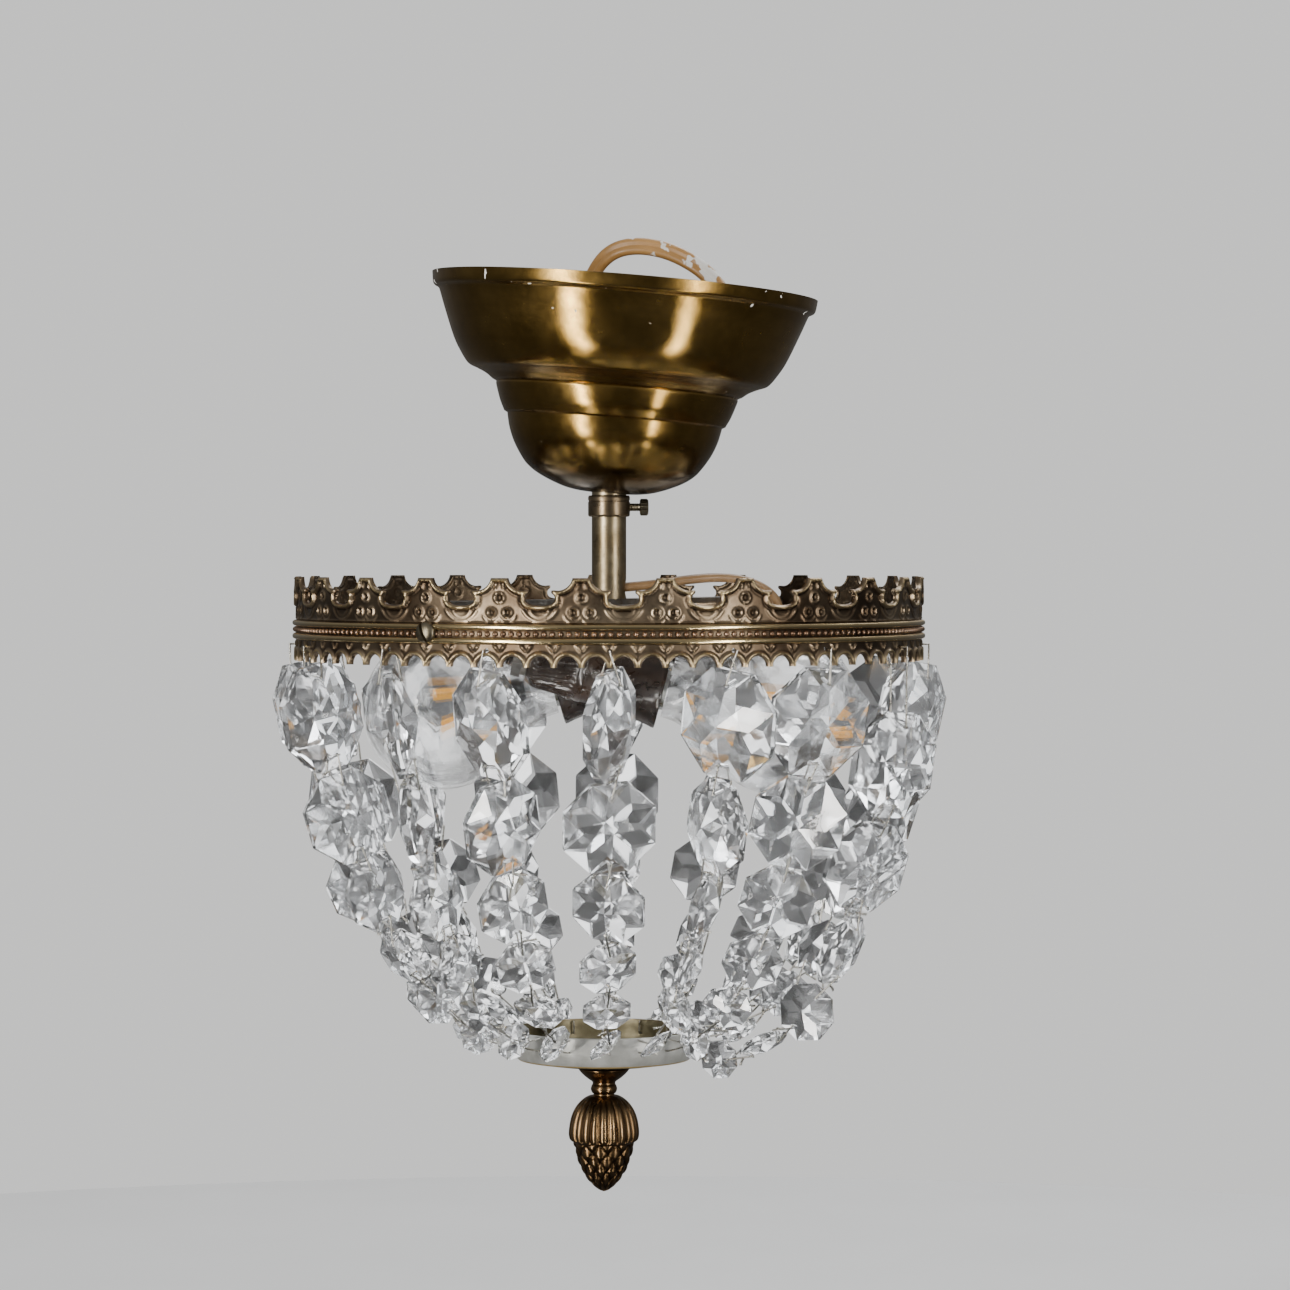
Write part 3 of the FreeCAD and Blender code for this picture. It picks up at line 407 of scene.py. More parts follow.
def lathe(profile, segments, closed=True, shape=None):
    """(radius, height) points turned about local Z; a radius of 0 is a pole. shape(radius, height, angles), if
    given, returns the radius at each angle."""
    angles = np.linspace(0, TAU, segments, endpoint=False)
    points, rows = [], []
    for radius, height in profile:
        if radius < 1e-6:
            rows.append([len(points)])
            points.append((0.0, 0.0, height))
            continue
        radii = np.full(segments, radius) if shape is None else shape(radius, height, angles)
        rows.append(list(range(len(points), len(points) + segments)))
        points += list(zip(radii * np.cos(angles), radii * np.sin(angles), np.full(segments, height)))
    faces = []
    pairs = list(zip(rows, rows[1:])) + ([(rows[-1], rows[0])] if closed else [])
    for here, after in pairs:
        if len(here) == 1 and len(after) == 1:
            continue
        for k in range(segments):
            n = (k + 1) % segments
            if len(here) == 1:
                faces.append((here[0], after[k], after[n]))
            elif len(after) == 1:
                faces.append((here[k], here[n], after[0]))
            else:
                faces.append((here[k], here[n], after[n], after[k]))
    return np.array(points), faces


def smooth_profile(points, corners=(), steps=7):
    """Catmull-Rom through the points, with sharp turns at the corner numbers."""
    made = []
    count = len(points)
    p = [np.array(q, float) for q in points]
    for k in range(count - 1):
        before = p[k] * 2 - p[k + 1] if k == 0 or k in corners else p[k - 1]
        after = p[k + 1] * 2 - p[k] if k + 2 >= count or k + 1 in corners else p[k + 2]
        for step in range(steps):
            t = step / steps
            made.append(0.5 * ((2 * p[k]) + (p[k + 1] - before) * t
                               + (2 * before - 5 * p[k] + 4 * p[k + 1] - after) * t * t
                               + (3 * p[k] - before - 3 * p[k + 1] + after) * t ** 3))
    made.append(p[-1])
    return [tuple(q) for q in made]


def sheet_profile(outer, wall):
    """Closed profile: an outline and its inward offset."""
    q = np.array(outer)
    step = np.gradient(q, axis=0)
    step /= np.linalg.norm(step, axis=1)[:, None]
    inner = q + np.stack([-step[:, 1], step[:, 0]], axis=1) * wall
    return [tuple(v) for v in q] + [tuple(v) for v in inner[::-1]]


def tube(path, section, width_axis):
    """A tube of the given cross-section along a path, its local x axis carried along without twist."""
    path = np.asarray(path, float)
    ahead = np.gradient(path, axis=0)
    ahead /= np.linalg.norm(ahead, axis=1)[:, None]
    start, axis = width_axis
    across = np.zeros_like(path)
    axis = np.asarray(axis, float)
    for order in (range(start, len(path)), range(start, -1, -1)):
        carried = axis
        for k in order:
            carried = carried - ahead[k] * np.dot(carried, ahead[k])
            carried = carried / np.linalg.norm(carried)
            across[k] = carried
    up = np.cross(ahead, across)
    count = len(section)
    points = np.vstack([path[k] + np.outer(section[:, 0], across[k]) + np.outer(section[:, 1], up[k])
                        for k in range(len(path))])
    last = (len(path) - 1) * count
    faces = [(k + m, k + (m + 1) % count, k + count + (m + 1) % count, k + count + m)
             for k in range(0, last, count) for m in range(count)]
    faces += [tuple(range(count)), tuple(range(last, last + count))]
    return points, faces


def circle(radius, count):
    angles = np.linspace(0, TAU, count, endpoint=False)
    return np.stack([np.cos(angles), np.sin(angles)], axis=1) * radius


CORE_SHARE = 0.265
GROOVE_ANGLE = 142


def twin_section(width):
    """Two round cores side by side with a groove between them."""
    core = width * CORE_SHARE
    centre = width / 2 - core
    lobe = np.radians(np.linspace(-GROOVE_ANGLE, GROOVE_ANGLE, 11))
    right = np.stack([centre + core * np.cos(lobe), core * np.sin(lobe)], axis=1)
    return np.vstack([right, right * -1])


def outward(degrees):
    """Level direction away from the axis; 0 faces the camera and 90 is +X."""
    angle = math.radians(degrees)
    return np.array([math.sin(angle), -math.cos(angle), 0.0])


# ---- cords
def nurbs_line(name, route):
    """Points along a quadratic curve whose control points are the route's corners."""
    curve = bpy.data.curves.new(name, "CURVE")
    curve.dimensions = "3D"
    curve.resolution_u = 12
    spline = curve.splines.new("NURBS")
    spline.points.add(len(route) - 1)
    for point, corner in zip(spline.points, route):
        point.co = (*[value * MM for value in corner], 1)
    spline.order_u = 3
    spline.use_endpoint_u = True
    holder = bpy.data.objects.new(name, curve)
    bpy.context.scene.collection.objects.link(holder)
    line = bpy.data.meshes.new_from_object(holder.evaluated_get(bpy.context.evaluated_depsgraph_get()))
    path = np.array([vertex.co for vertex in line.vertices]) / MM
    bpy.data.objects.remove(holder)
    bpy.data.curves.remove(curve)
    bpy.data.meshes.remove(line)
    return path


SUPPLY_ROUTE = [
    (0, 3.5, -11.6), (0, 14, -11.6), (-4, 21.5, -5), (-9, 23.5, 5.5), (-10, 20, 16.5), (-6, 13.5, 27),
    (-1, 7, 34.8), (7, 4.5, 37.2), (18, 3, 35), (29, -0.5, 27.5), (32.5, -8, 17), (24.5, -17, 8.5),
    (12.5, -22.5, 4.5)]
SUPPLY_FLAT = (0, 0.35, 1)
LAMP_ROUTE = [
    (2.6, 0.9, -56.5), (12, 2, -55.8), (22, 4.5, -54.2), (32, 8, -53.6), (40, 10.5, -55.2), (46, 12.5, -59.5),
    (46.5, 14, -65.5), (41, 14.3, -69.4), (33, 14, -70.3), (25, 14, -72.5)]
LAMP_FLAT = (-0.25, 1, 0)
FLEX_WIDTH = 4.8
LAMP_FLEX_WIDTH = 4.6

supply_path = nurbs_line("supply_line", SUPPLY_ROUTE)
apex = int(np.argmax(supply_path[:, 2]))
shape = tube(supply_path, twin_section(FLEX_WIDTH), (apex, SUPPLY_FLAT))
supply = piece("supply_cord_twin", *shape, supply_flex, "root", "flex_sheath", ["supply_cord"])

lamp_path = nurbs_line("lamp_line", LAMP_ROUTE)
shape = tube(lamp_path, twin_section(LAMP_FLEX_WIDTH), (len(lamp_path) // 3, LAMP_FLAT))
piece("lamp_flex_twin", *shape, inner_flex, "root", "flex_sheath", ["lamp_flex"])


# ---- canopy
CANOPY_OUTLINE = [
    (5.2, 0), (8.5, 0.25), (12, 0.9), (15.8, 2.2), (19.5, 3.9), (22.2, 5.7), (24.2, 7.8), (26.8, 11.9),
    (28.4, 15.8), (29.2, 19.2), (29.3, 19.8), (30.2, 20.3), (31.5, 23.0), (32.6, 26.2), (33.0, 27.6),
    (32.9, 28.1), (34.1, 28.7), (36, 30.1), (38.6, 31.3), (41, 32.4), (43.4, 35.6), (45.5, 39.4),
    (48.3, 46.4), (50.0, 51.0), (50.4, 52.0), (50.9, 52.4), (51.8, 52.9), (52.2, 53.8), (52.55, 56.3)]
CANOPY_CORNERS = (9, 10, 11, 14, 15, 16, 23, 24, 25)
CANOPY_WALL = 0.8
profile = sheet_profile(smooth_profile(CANOPY_OUTLINE, CANOPY_CORNERS, 5), CANOPY_WALL)
points, faces = lathe(profile, 180)
turn = np.array(Matrix.Rotation(CANOPY_TILT, 4, "Y"))
turn[2, 3] = CANOPY_BOTTOM
piece("canopy_spun", moved(points, turn), faces, canopy_brass, "canopy", "canopy_brass", ["canopy"], sharp=28)


# ---- collar and thumb screw
COLLAR = [(4.76, -37.2), (5.3, -37.2), (5.65, -36.9), (5.7, -36.6), (5.7, -33.2), (5.55, -33.05), (5.55, -32.8),
          (5.7, -32.65), (5.7, -31.8), (5.45, -31.4), (4.76, -31.4)]
piece("collar_turned", *lathe(COLLAR, 96), collar_brass, "collar", "collar_brass", ["slip_collar"])

THREAD_PITCH = 0.5
THREAD_RADIUS = 1.12
THREAD_ROOT = 0.98
HEAD_RADIUS = 2.3
HEAD_LENGTH = 2.4
KNURLS = 18
KNURL_DEPTH = 0.14

low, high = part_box("thumb_screw")
screw_axis = basis((1, 0, 0), (0, 0, (low[2] + high[2]) / 2 / MM), near=(0, 0, 1))
start, end = low[0] / MM, high[0] / MM
head = end - HEAD_LENGTH
SCREW = [(0, start), (1.05, start), (THREAD_RADIUS, start + 0.2)]
for groove in np.arange(start + THREAD_PITCH, head - THREAD_PITCH, THREAD_PITCH):
    SCREW += [(THREAD_RADIUS, groove), (THREAD_ROOT, groove + THREAD_PITCH / 2)]
SCREW += [(THREAD_RADIUS, head - 0.05), (1.9, head), (HEAD_RADIUS, head + 0.25), (HEAD_RADIUS, end - 0.5),
          (1.95, end - 0.12), (0.9, end), (0, end)]


def knurled(radius, height, angles):
    depth = KNURL_DEPTH if radius > HEAD_RADIUS - 0.1 else 0
    return radius - depth * (1 + np.cos(angles * KNURLS)) / 2


points, faces = lathe(SCREW, 144, closed=False, shape=knurled)
piece("thumb_screw_knurled", moved(points, screw_axis), faces, screw_brass, "thumb_screw", "collar_brass",
      ["thumb_screw"], sharp=30)


# ---- gallery band
BAND_RADIUS = 84.8
BAND_BACK = 84.0
BAND_TOP = -53.4
MOTIFS = 25
PITCH = TAU * BAND_RADIUS / MOTIFS
CROWN_AZIMUTH = 3.0 - 180 / MOTIFS
RIDGES = ((11.6, 13.3), (15.1, 16.9))
CROWN_BASE = 11.6
SCALLOP_TOP = 16.9
BAND_HEIGHT = 22.6
SCALLOP = PITCH / 3
NOTCH_RADIUS = 2.75
FRONT_STRINGS = [-67.7, -41.4, -21.0, 0.6, 22.4, 41.5, 65.0]
BACK_STRINGS = 9
back_step = (360 - FRONT_STRINGS[-1] + FRONT_STRINGS[0]) / (BACK_STRINGS + 1)
STRING_ANGLES = FRONT_STRINGS + [FRONT_STRINGS[-1] + back_step * step for step in range(1, BACK_STRINGS + 1)]
STRING_HOLE_DEPTH = 18.4
STRING_HOLE_RADIUS = 0.62


# Cut between two crowns: u is measured from the crown's middle and d down from its top.
SHOULDER = (6.1, -0.75)
SHOULDER_RADIUS = 3.92
GAP_LEVEL = 5.2
GAP_HALF_WIDTH = 3.9
GAP_HALF_HEIGHT = 1.75
GAP_POWER = 2.6
NECK_HALF_WIDTH = 2.95
MOUTH_HALF_WIDTH = 3.5
MOUTH_BOTTOM = 3.1


def from_notch_centre(u):
    """Distance along the band from the nearest scallop notch, with its sign."""
    return (u + PITCH / 2 + SCALLOP / 2) % SCALLOP - SCALLOP / 2


def band_cut(u, d):
    """Above 0 where the sheet is pierced or ends; d is the depth below the crowns' tops."""
    side = np.abs(u)
    to_gap = PITCH / 2 - side
    shoulder = SHOULDER_RADIUS - np.hypot(side - SHOULDER[0], d - SHOULDER[1])
    wide = np.abs(to_gap / GAP_HALF_WIDTH) ** GAP_POWER
    tall = np.abs((d - GAP_LEVEL) / GAP_HALF_HEIGHT) ** GAP_POWER
    round_gap = GAP_HALF_HEIGHT * (1 - (wide + tall) ** (1 / GAP_POWER))
    neck = np.minimum(NECK_HALF_WIDTH - to_gap, 4.6 - d)
    mouth = np.minimum(MOUTH_HALF_WIDTH - to_gap, MOUTH_BOTTOM - d)
    notch = NOTCH_RADIUS - np.hypot(from_notch_centre(u), d - BAND_HEIGHT)
    return np.maximum.reduce([shoulder, round_gap, neck, mouth, notch])


def ring_relief(u, d, centre, radius, height, width=0.3):
    """A raised ring round a centre."""
    far = np.hypot(u - centre[0], d - centre[1])
    return height * np.exp(-((far - radius) / width) ** 2)


TOP_RING = (0, 5.0)
LOW_RING = (2.1, 8.8)
RIDGE_HEIGHT = 1.15
PEARL_BED = 0.15


def band_relief(u, d, rim):
    """How far the sheet stands out from its base surface."""
    side = np.abs(u)
    crown = 0.8 * np.exp(-(np.abs(rim - 0.6) / 0.5) ** 2.5)
    for centre, radius in ((TOP_RING, 1.25), (LOW_RING, 1.15)):
        crown += ring_relief(side, d, centre, radius, 0.42)
        crown -= 0.35 * np.exp(-(np.hypot(side - centre[0], d - centre[1]) / 0.62) ** 2)
    crown += 0.3 * np.exp(-((side - 0.75 - 0.12 * d) / 0.3) ** 2) * np.clip((3.1 - d) * 2, 0, 1)
    crown += np.clip((d - 9.2) * 1.5, 0, 1) * ring_relief(side, d, LOW_RING, 2.35, 0.3, 0.28)
    under_gap = np.clip((d - 7.6) * 1.5, 0, 1)
    crown += under_gap * ring_relief(side, d, (PITCH / 2, 6.0), 4.9, 0.32)
    crown += under_gap * ring_relief(side, d, (PITCH / 2, 7.4), 2.6, 0.22)
    crown -= 0.2 * np.exp(-((rim - 1.5) / 0.28) ** 2)
    crown += 0.25 * np.exp(-((d - 11.3) / 0.25) ** 2)
    relief = np.where(d < CROWN_BASE, crown, 0.0)
    for start, end in RIDGES:
        t = np.clip((d - start) / (end - start) * 2 - 1, -1, 1)
        relief = np.where((d >= start) & (d <= end), RIDGE_HEIGHT * (1 - np.abs(t) ** 3.5), relief)
    relief = np.where((d > RIDGES[0][1]) & (d < RIDGES[1][0]), PEARL_BED, relief)
    v = from_notch_centre(u)
    from_notch = np.hypot(v, d - BAND_HEIGHT) - NOTCH_RADIUS
    rib = 0.75 * np.exp(-(np.abs(from_notch - 0.62) / 0.5) ** 2.5)
    leaf = SCALLOP / 2 - np.abs(v)
    vee = 0.5 * np.exp(-((leaf - (18.9 - d) * 0.75) / 0.28) ** 2) * np.clip((19.0 - d) * 3, 0, 1)
    return np.where(d > SCALLOP_TOP, np.maximum(rib, vee), relief)


def band_tile():
    """One motif as (u, depth) points and faces, cut along its outline by marching squares."""
    columns = np.linspace(-PITCH / 2, PITCH / 2, 61)
    ridge_rows = [start + part * (end - start) for start, end in RIDGES
                  for part in (0, 0.04, 0.12, 0.25, 0.5, 0.75, 0.88, 0.96, 1)]
    rows = np.unique(np.round(np.concatenate([
        np.linspace(0, CROWN_BASE, 34), ridge_rows, [13.6, 14.2, 14.8],
        np.linspace(SCALLOP_TOP, BAND_HEIGHT, 18)]), 4))
    grid_u, grid_d = np.meshgrid(columns, rows, indexing="ij")
    cut = band_cut(grid_u, grid_d)
    points, index, contour = [], {}, []

    def corner(i, j):
        key = ("c", i, j)
        if key not in index:
            index[key] = len(points)
            points.append((columns[i], rows[j]))
        return index[key]

    def crossing(a, b):
        key = ("x",) + tuple(sorted((a, b)))
        if key not in index:
            fa, fb = cut[a], cut[b]
            t = fa / (fa - fb)
            index[key] = len(points)
            points.append((columns[a[0]] + t * (columns[b[0]] - columns[a[0]]),
                           rows[a[1]] + t * (rows[b[1]] - rows[a[1]])))
            contour.append(points[-1])
        return index[key]

    faces = []
    for i in range(len(columns) - 1):
        for j in range(len(rows) - 1):
            ring = [(i, j), (i + 1, j), (i + 1, j + 1), (i, j + 1)]
            face = []
            for here, after in zip(ring, ring[1:] + ring[:1]):
                if cut[here] <= 0:
                    face.append(corner(*here))
                if (cut[here] <= 0) != (cut[after] <= 0):
                    face.append(crossing(here, after))
            if len(face) > 2:
                faces.append(face)
    return np.array(points), faces, np.array(contour)


def make_gallery():
    """The tile repeated round the band, with string holes and a back face, closed along every edge."""
    tile, tile_faces, contour = band_tile()
    crown_edge = contour[contour[:, 1] < CROWN_BASE]
    crown_edge = np.vstack([crown_edge] + [crown_edge + (shift * PITCH, 0) for shift in (-1, 1)]
                           + [np.stack([np.linspace(-2.2, 2.2, 25), np.zeros(25)], axis=1)])
    rim = np.min(np.hypot(tile[:, None, 0] - crown_edge[None, :, 0],
                          tile[:, None, 1] - crown_edge[None, :, 1]), axis=1)
    relief = band_relief(tile[:, 0], tile[:, 1], rim)
    count = len(tile)
    left = {round(d, 3): k for k, (u, d) in enumerate(tile) if abs(u + PITCH / 2) < 1e-6}
    seam = {k: left[round(d, 3)] for k, (u, d) in enumerate(tile) if abs(u - PITCH / 2) < 1e-6}
    angle_step = 360 / MOTIFS
    azimuth = np.concatenate([np.degrees(tile[:, 0] / BAND_RADIUS) + CROWN_AZIMUTH + angle_step * k
                              for k in range(MOTIFS)])
    depth = np.tile(tile[:, 1], MOTIFS)
    height = np.tile(relief, MOTIFS)
    faces = []
    for k in range(MOTIFS):
        here, after = k * count, (k + 1) % MOTIFS * count
        for face in tile_faces:
            faces.append([after + seam[c] if c in seam else here + c for c in face])
    holes = []
    for wanted in STRING_ANGLES:
        away = (azimuth - wanted + 180) % 360 - 180
        holes.append(np.hypot(np.radians(away) * BAND_RADIUS, depth - STRING_HOLE_DEPTH))
    nearest = np.min(holes, axis=0)
    faces = [face for face in faces if np.mean(nearest[face]) > STRING_HOLE_RADIUS]
    edges = {}
    for face in faces:
        for a, b in zip(face, face[1:] + face[:1]):
            key = (a, b) if a < b else (b, a)
            edges[key] = None if key in edges else (a, b)
    border = [pair for pair in edges.values() if pair is not None]
    for k in {corner for pair in border for corner in pair}:
        if nearest[k] < 1.1:
            hole = int(np.argmin([distances[k] for distances in holes]))
            away = (azimuth[k] - STRING_ANGLES[hole] + 180) % 360 - 180
            offset = np.array([np.radians(away) * BAND_RADIUS, depth[k] - STRING_HOLE_DEPTH])
            offset *= STRING_HOLE_RADIUS / np.linalg.norm(offset)
            azimuth[k] = STRING_ANGLES[hole] + math.degrees(offset[0] / BAND_RADIUS)
            depth[k] = STRING_HOLE_DEPTH + offset[1]
    radians = np.radians(azimuth)
    ring = np.stack([np.sin(radians), -np.cos(radians)], axis=1)
    front = np.column_stack([ring * (BAND_RADIUS + height)[:, None], BAND_TOP - depth])
    behind = BAND_BACK + 0.55 * np.clip(height, 0, None)
    back = np.column_stack([ring * behind[:, None], BAND_TOP - depth])
    total = len(front)
    everything = faces + [[c + total for c in face[::-1]] for face in faces]
    everything += [[a, a + total, b + total, b] for a, b in border]
    used = np.zeros(total, bool)
    used[np.unique(np.concatenate([np.array(face) for face in faces]))] = True
    used = np.concatenate([used, used])
    renumber = np.cumsum(used) - 1
    everything = [renumber[face].tolist() for face in everything]
    # The tone sets where the brass gets painted shade (low parts and the back) and a painted highlight (ridges
    # and raised parts).
    ridge = (depth > CROWN_BASE - 0.1) & (depth < SCALLOP_TOP + 0.1) & (height > 0.9)
    tone = np.where(ridge, 1.0, np.clip(0.2 + height * 0.85, 0, 0.84))
    tone = np.where((depth > RIDGES[0][1]) & (depth < RIDGES[1][0]), 0.2, tone)
    tone = np.concatenate([tone, np.full(total, 0.22)])[used]
    points = np.vstack([front, back])[used]
    piece("gallery_pierced", points, everything, crown_brass, "root", "gallery_brass", ["gallery_band"],
          sharp=50, relief=tone)


PEARLS_PER_MOTIF = 10
PEARL_DEPTH = 14.2
PEARL_DOME = [(0, 0.95), (0.3, 0.88), (0.58, 0.66), (0.74, 0.36), (0.78, 0.0), (0, 0.0)]


def make_pearls():
    """The row of small beads between the two ridges."""
    count = MOTIFS * PEARLS_PER_MOTIF
    dome = lathe(PEARL_DOME, 10, closed=False)
    pearls = []
    for k in range(count):
        direction = outward(CROWN_AZIMUTH + 360 / count * (k + 0.5))
        centre = direction * (BAND_RADIUS + 0.12) + (0, 0, BAND_TOP - PEARL_DEPTH)
        spot = basis(direction, centre, near=(0, 0, 1))
        pearls.append((moved(dome[0], spot), dome[1]))
    piece("gallery_pearls", *merge(pearls), pearl_brass, "root", "gallery_brass")


make_gallery()
make_pearls()


# ---- slotted screws through the band
DOME_RADIUS = 2.8
DOME_HEIGHT = 1.75
DOME_BASE = 0.05
SLOT_SHARE = 0.14
SLOT_DEPTH = 0.9
DOME_SKIRT = 0.6
SCREW_SEAT = (86.0, -67.3)
SCREW_TURNS = ((-32.4, 24), (147.6, -50))
SHANK_RADIUS = 1.6
SHANK = ([(0, -12.0), (1.45, -12.0), (SHANK_RADIUS, -11.6)]
         + [(SHANK_RADIUS - 0.15 * (k % 2), -11.4 + 0.3 * k) for k in range(36)]
         + [(SHANK_RADIUS, 0), (0, 0)])


def slotted_dome():
    """A domed screw head with a straight slot; local Z points out of the head."""
    half = np.array([SLOT_SHARE, SLOT_SHARE + 0.02, 0.36, 0.56, 0.74, 0.88, 0.96, 1])
    across = np.concatenate([-half[::-1], [0], half]) * DOME_RADIUS
    along = np.linspace(-1, 1, 25)
    points = []
    for x in across:
        for t in along:
            y = t * math.sqrt(max(DOME_RADIUS ** 2 - x * x, 0))
            z = DOME_HEIGHT * math.sqrt(max(1 - (x * x + y * y) / DOME_RADIUS ** 2 * 0.93, 0))
            cut = SLOT_DEPTH if abs(x) <= SLOT_SHARE * DOME_RADIUS + 1e-6 else 0
            points.append((x, y, DOME_BASE + z - cut))
    rows, columns = len(along), len(across)
    faces = [(i * rows + j, (i + 1) * rows + j, (i + 1) * rows + j + 1, i * rows + j + 1)
             for i in range(columns - 1) for j in range(rows - 1)]
    edge = ([i * rows for i in range(columns)] + [(columns - 1) * rows + j for j in range(1, rows)]
            + [i * rows + rows - 1 for i in range(columns - 2, -1, -1)] + list(range(rows - 2, 0, -1)))
    floor = len(points)
    points += [(points[k][0], points[k][1], DOME_BASE - DOME_SKIRT) for k in edge]
    count = len(edge)
    faces += [(edge[k], edge[(k + 1) % count], floor + (k + 1) % count, floor + k) for k in range(count)]
    faces.append(tuple(range(floor, floor + count)))
    return np.array(points), faces


screws = []
for azimuth, lean in SCREW_TURNS:
    direction = outward(azimuth)
    spot = basis(direction, direction * SCREW_SEAT[0] + (0, 0, SCREW_SEAT[1]), near=(0, 0, 1))
    spin = np.array(Matrix.Rotation(math.radians(lean), 4, "Z"))
    points, faces = slotted_dome()
    screws.append((moved(points, spot @ spin), faces))
    points, faces = lathe(SHANK, 24, closed=False)
    screws.append((moved(points, spot), faces))
piece("band_screws_slotted", *merge(screws), screw_brass, "root", "gallery_brass", ["band_screws"], sharp=35)


# ---- lampholders and lamps
HOLDER_TILT = math.radians(14)
HOLDER_LENGTH = 37.0
MOUTH_OUT, MOUTH_SIDE, MOUTH_LEVEL = 15.0, -14.0, -82.5
FLUTES = 40
FLUTE_DEPTH = 0.38
FLUTES_FROM, FLUTES_TO = 1.6, 13.4
FLUTED_RADIUS = 8.6


def holder_frame(side):
    """side is +1 for the front lampholder, which faces +X, and -1 for the rear one."""
    axis = np.array([side * math.cos(HOLDER_TILT), 0, -math.sin(HOLDER_TILT)])
    mouth = np.array([side * MOUTH_OUT, side * MOUTH_SIDE, MOUTH_LEVEL])
    return basis(axis, mouth - axis * HOLDER_LENGTH)


def fluted(radius, height, angles):
    """Slanting grip flutes on the cap's outer wall."""
    if radius < FLUTED_RADIUS or not FLUTES_FROM < height < FLUTES_TO:
        return np.full(len(angles), radius)
    return radius - FLUTE_DEPTH * (1 + np.cos(angles * FLUTES + height * 0.9)) / 2


HOLDER_CAP = ([(2.75, -6), (5.0, -6), (5.0, -5.6), (4.75, -5.3), (5.0, -5.0), (4.75, -4.5), (5.0, -4.0),
               (4.75, -3.4), (5.0, -2.8), (4.75, -2.2), (5.0, -1.6), (5.0, 0), (7.3, 0), (7.9, 0.25), (8.4, 1.0),
               (8.75, 1.5), (9.2, 2.2)]
              + [(9.3 + 0.045 * step, 3 + step) for step in range(11)]
              + [(9.75, 13.5), (9.8, 13.7), (9.8, 14.0), (8.3, 14.0), (7.9, 3.6), (6.4, 1.5), (2.75, 1.5)])
HOLDER_SHELL = [
    (9.9, 14.05), (10.05, 14.3), (10.1, 15.6), (9.9, 15.9), (9.95, 18), (10.2, 21), (10.4, 24), (10.7, 28),
    (11.15, 32), (11.6, 34.6), (11.85, 35.8), (12, 36.2), (12, 36.8), (11.8, 37), (10.7, 37), (10.5, 36.4),
    (9.6, 30), (8.9, 24), (8.4, 14.05)]
LAMP_WALL = 1.0
SPHERE_RADIUS = 22.0
SPHERE_CENTRE = 69.0
SPHERE_START = math.radians(134)
LAMP_NECK = [(8.6, 38.1), (8.7, 40), (9.0, 42), (9.8, 44.4), (11.4, 47.6), (13.3, 50.6)]
STRIPS = 4
STRIP_TURN = 38
STRIP_FOOT = (2.3, 50.2)
STRIP_TIP = (6.6, 70.5)
STRIP_STEPS = (0, 0.02, 0.05, 0.5, 0.93, 0.98, 1)
STRIP_SECTION = circle(0.8, 10) * (1.5, 0.6)
POST_LENGTH = 1.6
FILAMENT_HUB = [(0, 45.6), (2.6, 45.6), (3.2, 46.2), (3.4, 47.0), (3.4, 49.4), (3.1, 50.4), (2.4, 50.9),
                (0, 50.9)]
FILAMENT_STEM = [(0, 38.3), (4.6, 38.3), (4.2, 39.4), (2.8, 41.5), (2.3, 44), (2.25, 45.6), (0, 45.6)]


def lamp_outline(inset):
    """Neck, swelling and round end of the lamp glass."""
    ball = SPHERE_RADIUS - inset
    steps = [SPHERE_START * (1 - k / 34) for k in range(34)]
    return ([(radius - inset, height) for radius, height in LAMP_NECK]
            + [(ball * math.sin(a), SPHERE_CENTRE + ball * math.cos(a)) for a in steps]
            + [(0, SPHERE_CENTRE + ball)])


def filament_shapes():
    """Coated strips spread from a dark hub on the glass stem, each with a wire at its far end."""
    strips, posts = [], []
    for number in range(STRIPS):
        angle = math.radians(STRIP_TURN + 360 / STRIPS * number)
        side = np.array([math.cos(angle), math.sin(angle), 0])
        foot = side * STRIP_FOOT[0] + (0, 0, STRIP_FOOT[1])
        tip = side * STRIP_TIP[0] + (0, 0, STRIP_TIP[1])
        along = tip - foot
        across = np.cross(side, (0, 0, 1))
        strips.append(tube([foot + along * t for t in STRIP_STEPS], STRIP_SECTION, (3, across)))
        top = tip + along / np.linalg.norm(along) * POST_LENGTH
        inward = top * (0.5, 0.5, 1) + (0, 0, POST_LENGTH)
        posts.append(tube([tip - along * 0.03, top, inward], circle(0.28, 8), (1, across)))
    return (merge(strips), merge(posts), lathe(FILAMENT_HUB, 48, closed=False),
            lathe(FILAMENT_STEM, 32, closed=False))


for label, side in (("front", 1), ("rear", -1)):
    lamp = f"lamp_{label}"
    strips, posts, hub, stem = filament_shapes()
    cap = lathe(HOLDER_CAP, FLUTES * 6, shape=fluted)
    shell = lathe(HOLDER_SHELL, 96)
    glass = lathe(lamp_outline(0) + lamp_outline(LAMP_WALL)[::-1], 96)
    for name, (points, faces), material, body, slot, nodes, sharp in (
            ("holder_cap_fluted", cap, bakelite, "root", "holder_bakelite", ["holder_cap"], 32),
            ("holder_shell_flared", shell, bakelite, "root", "holder_bakelite", ["holder_shell"], 32),
            ("bulb_envelope", glass, lamp_glass, lamp, "lamp_glass", ["bulb_glass"], 60),
            ("filament_strips", strips, amber, lamp, "filament_amber", ["bulb_filament"], 40),
            ("filament_posts", posts, shell_metal, lamp, "filament_amber", [], 40),
            ("filament_hub", hub, black_plastic, lamp, "filament_amber", [], 35),
            ("filament_stem", stem, lamp_glass, lamp, "lamp_glass", [], 40)):
        piece(f"{name}_{label}", moved(points, holder_frame(side)), faces, material, body, slot,
              [f"{stands_for}_{label}" for stands_for in nodes], sharp)


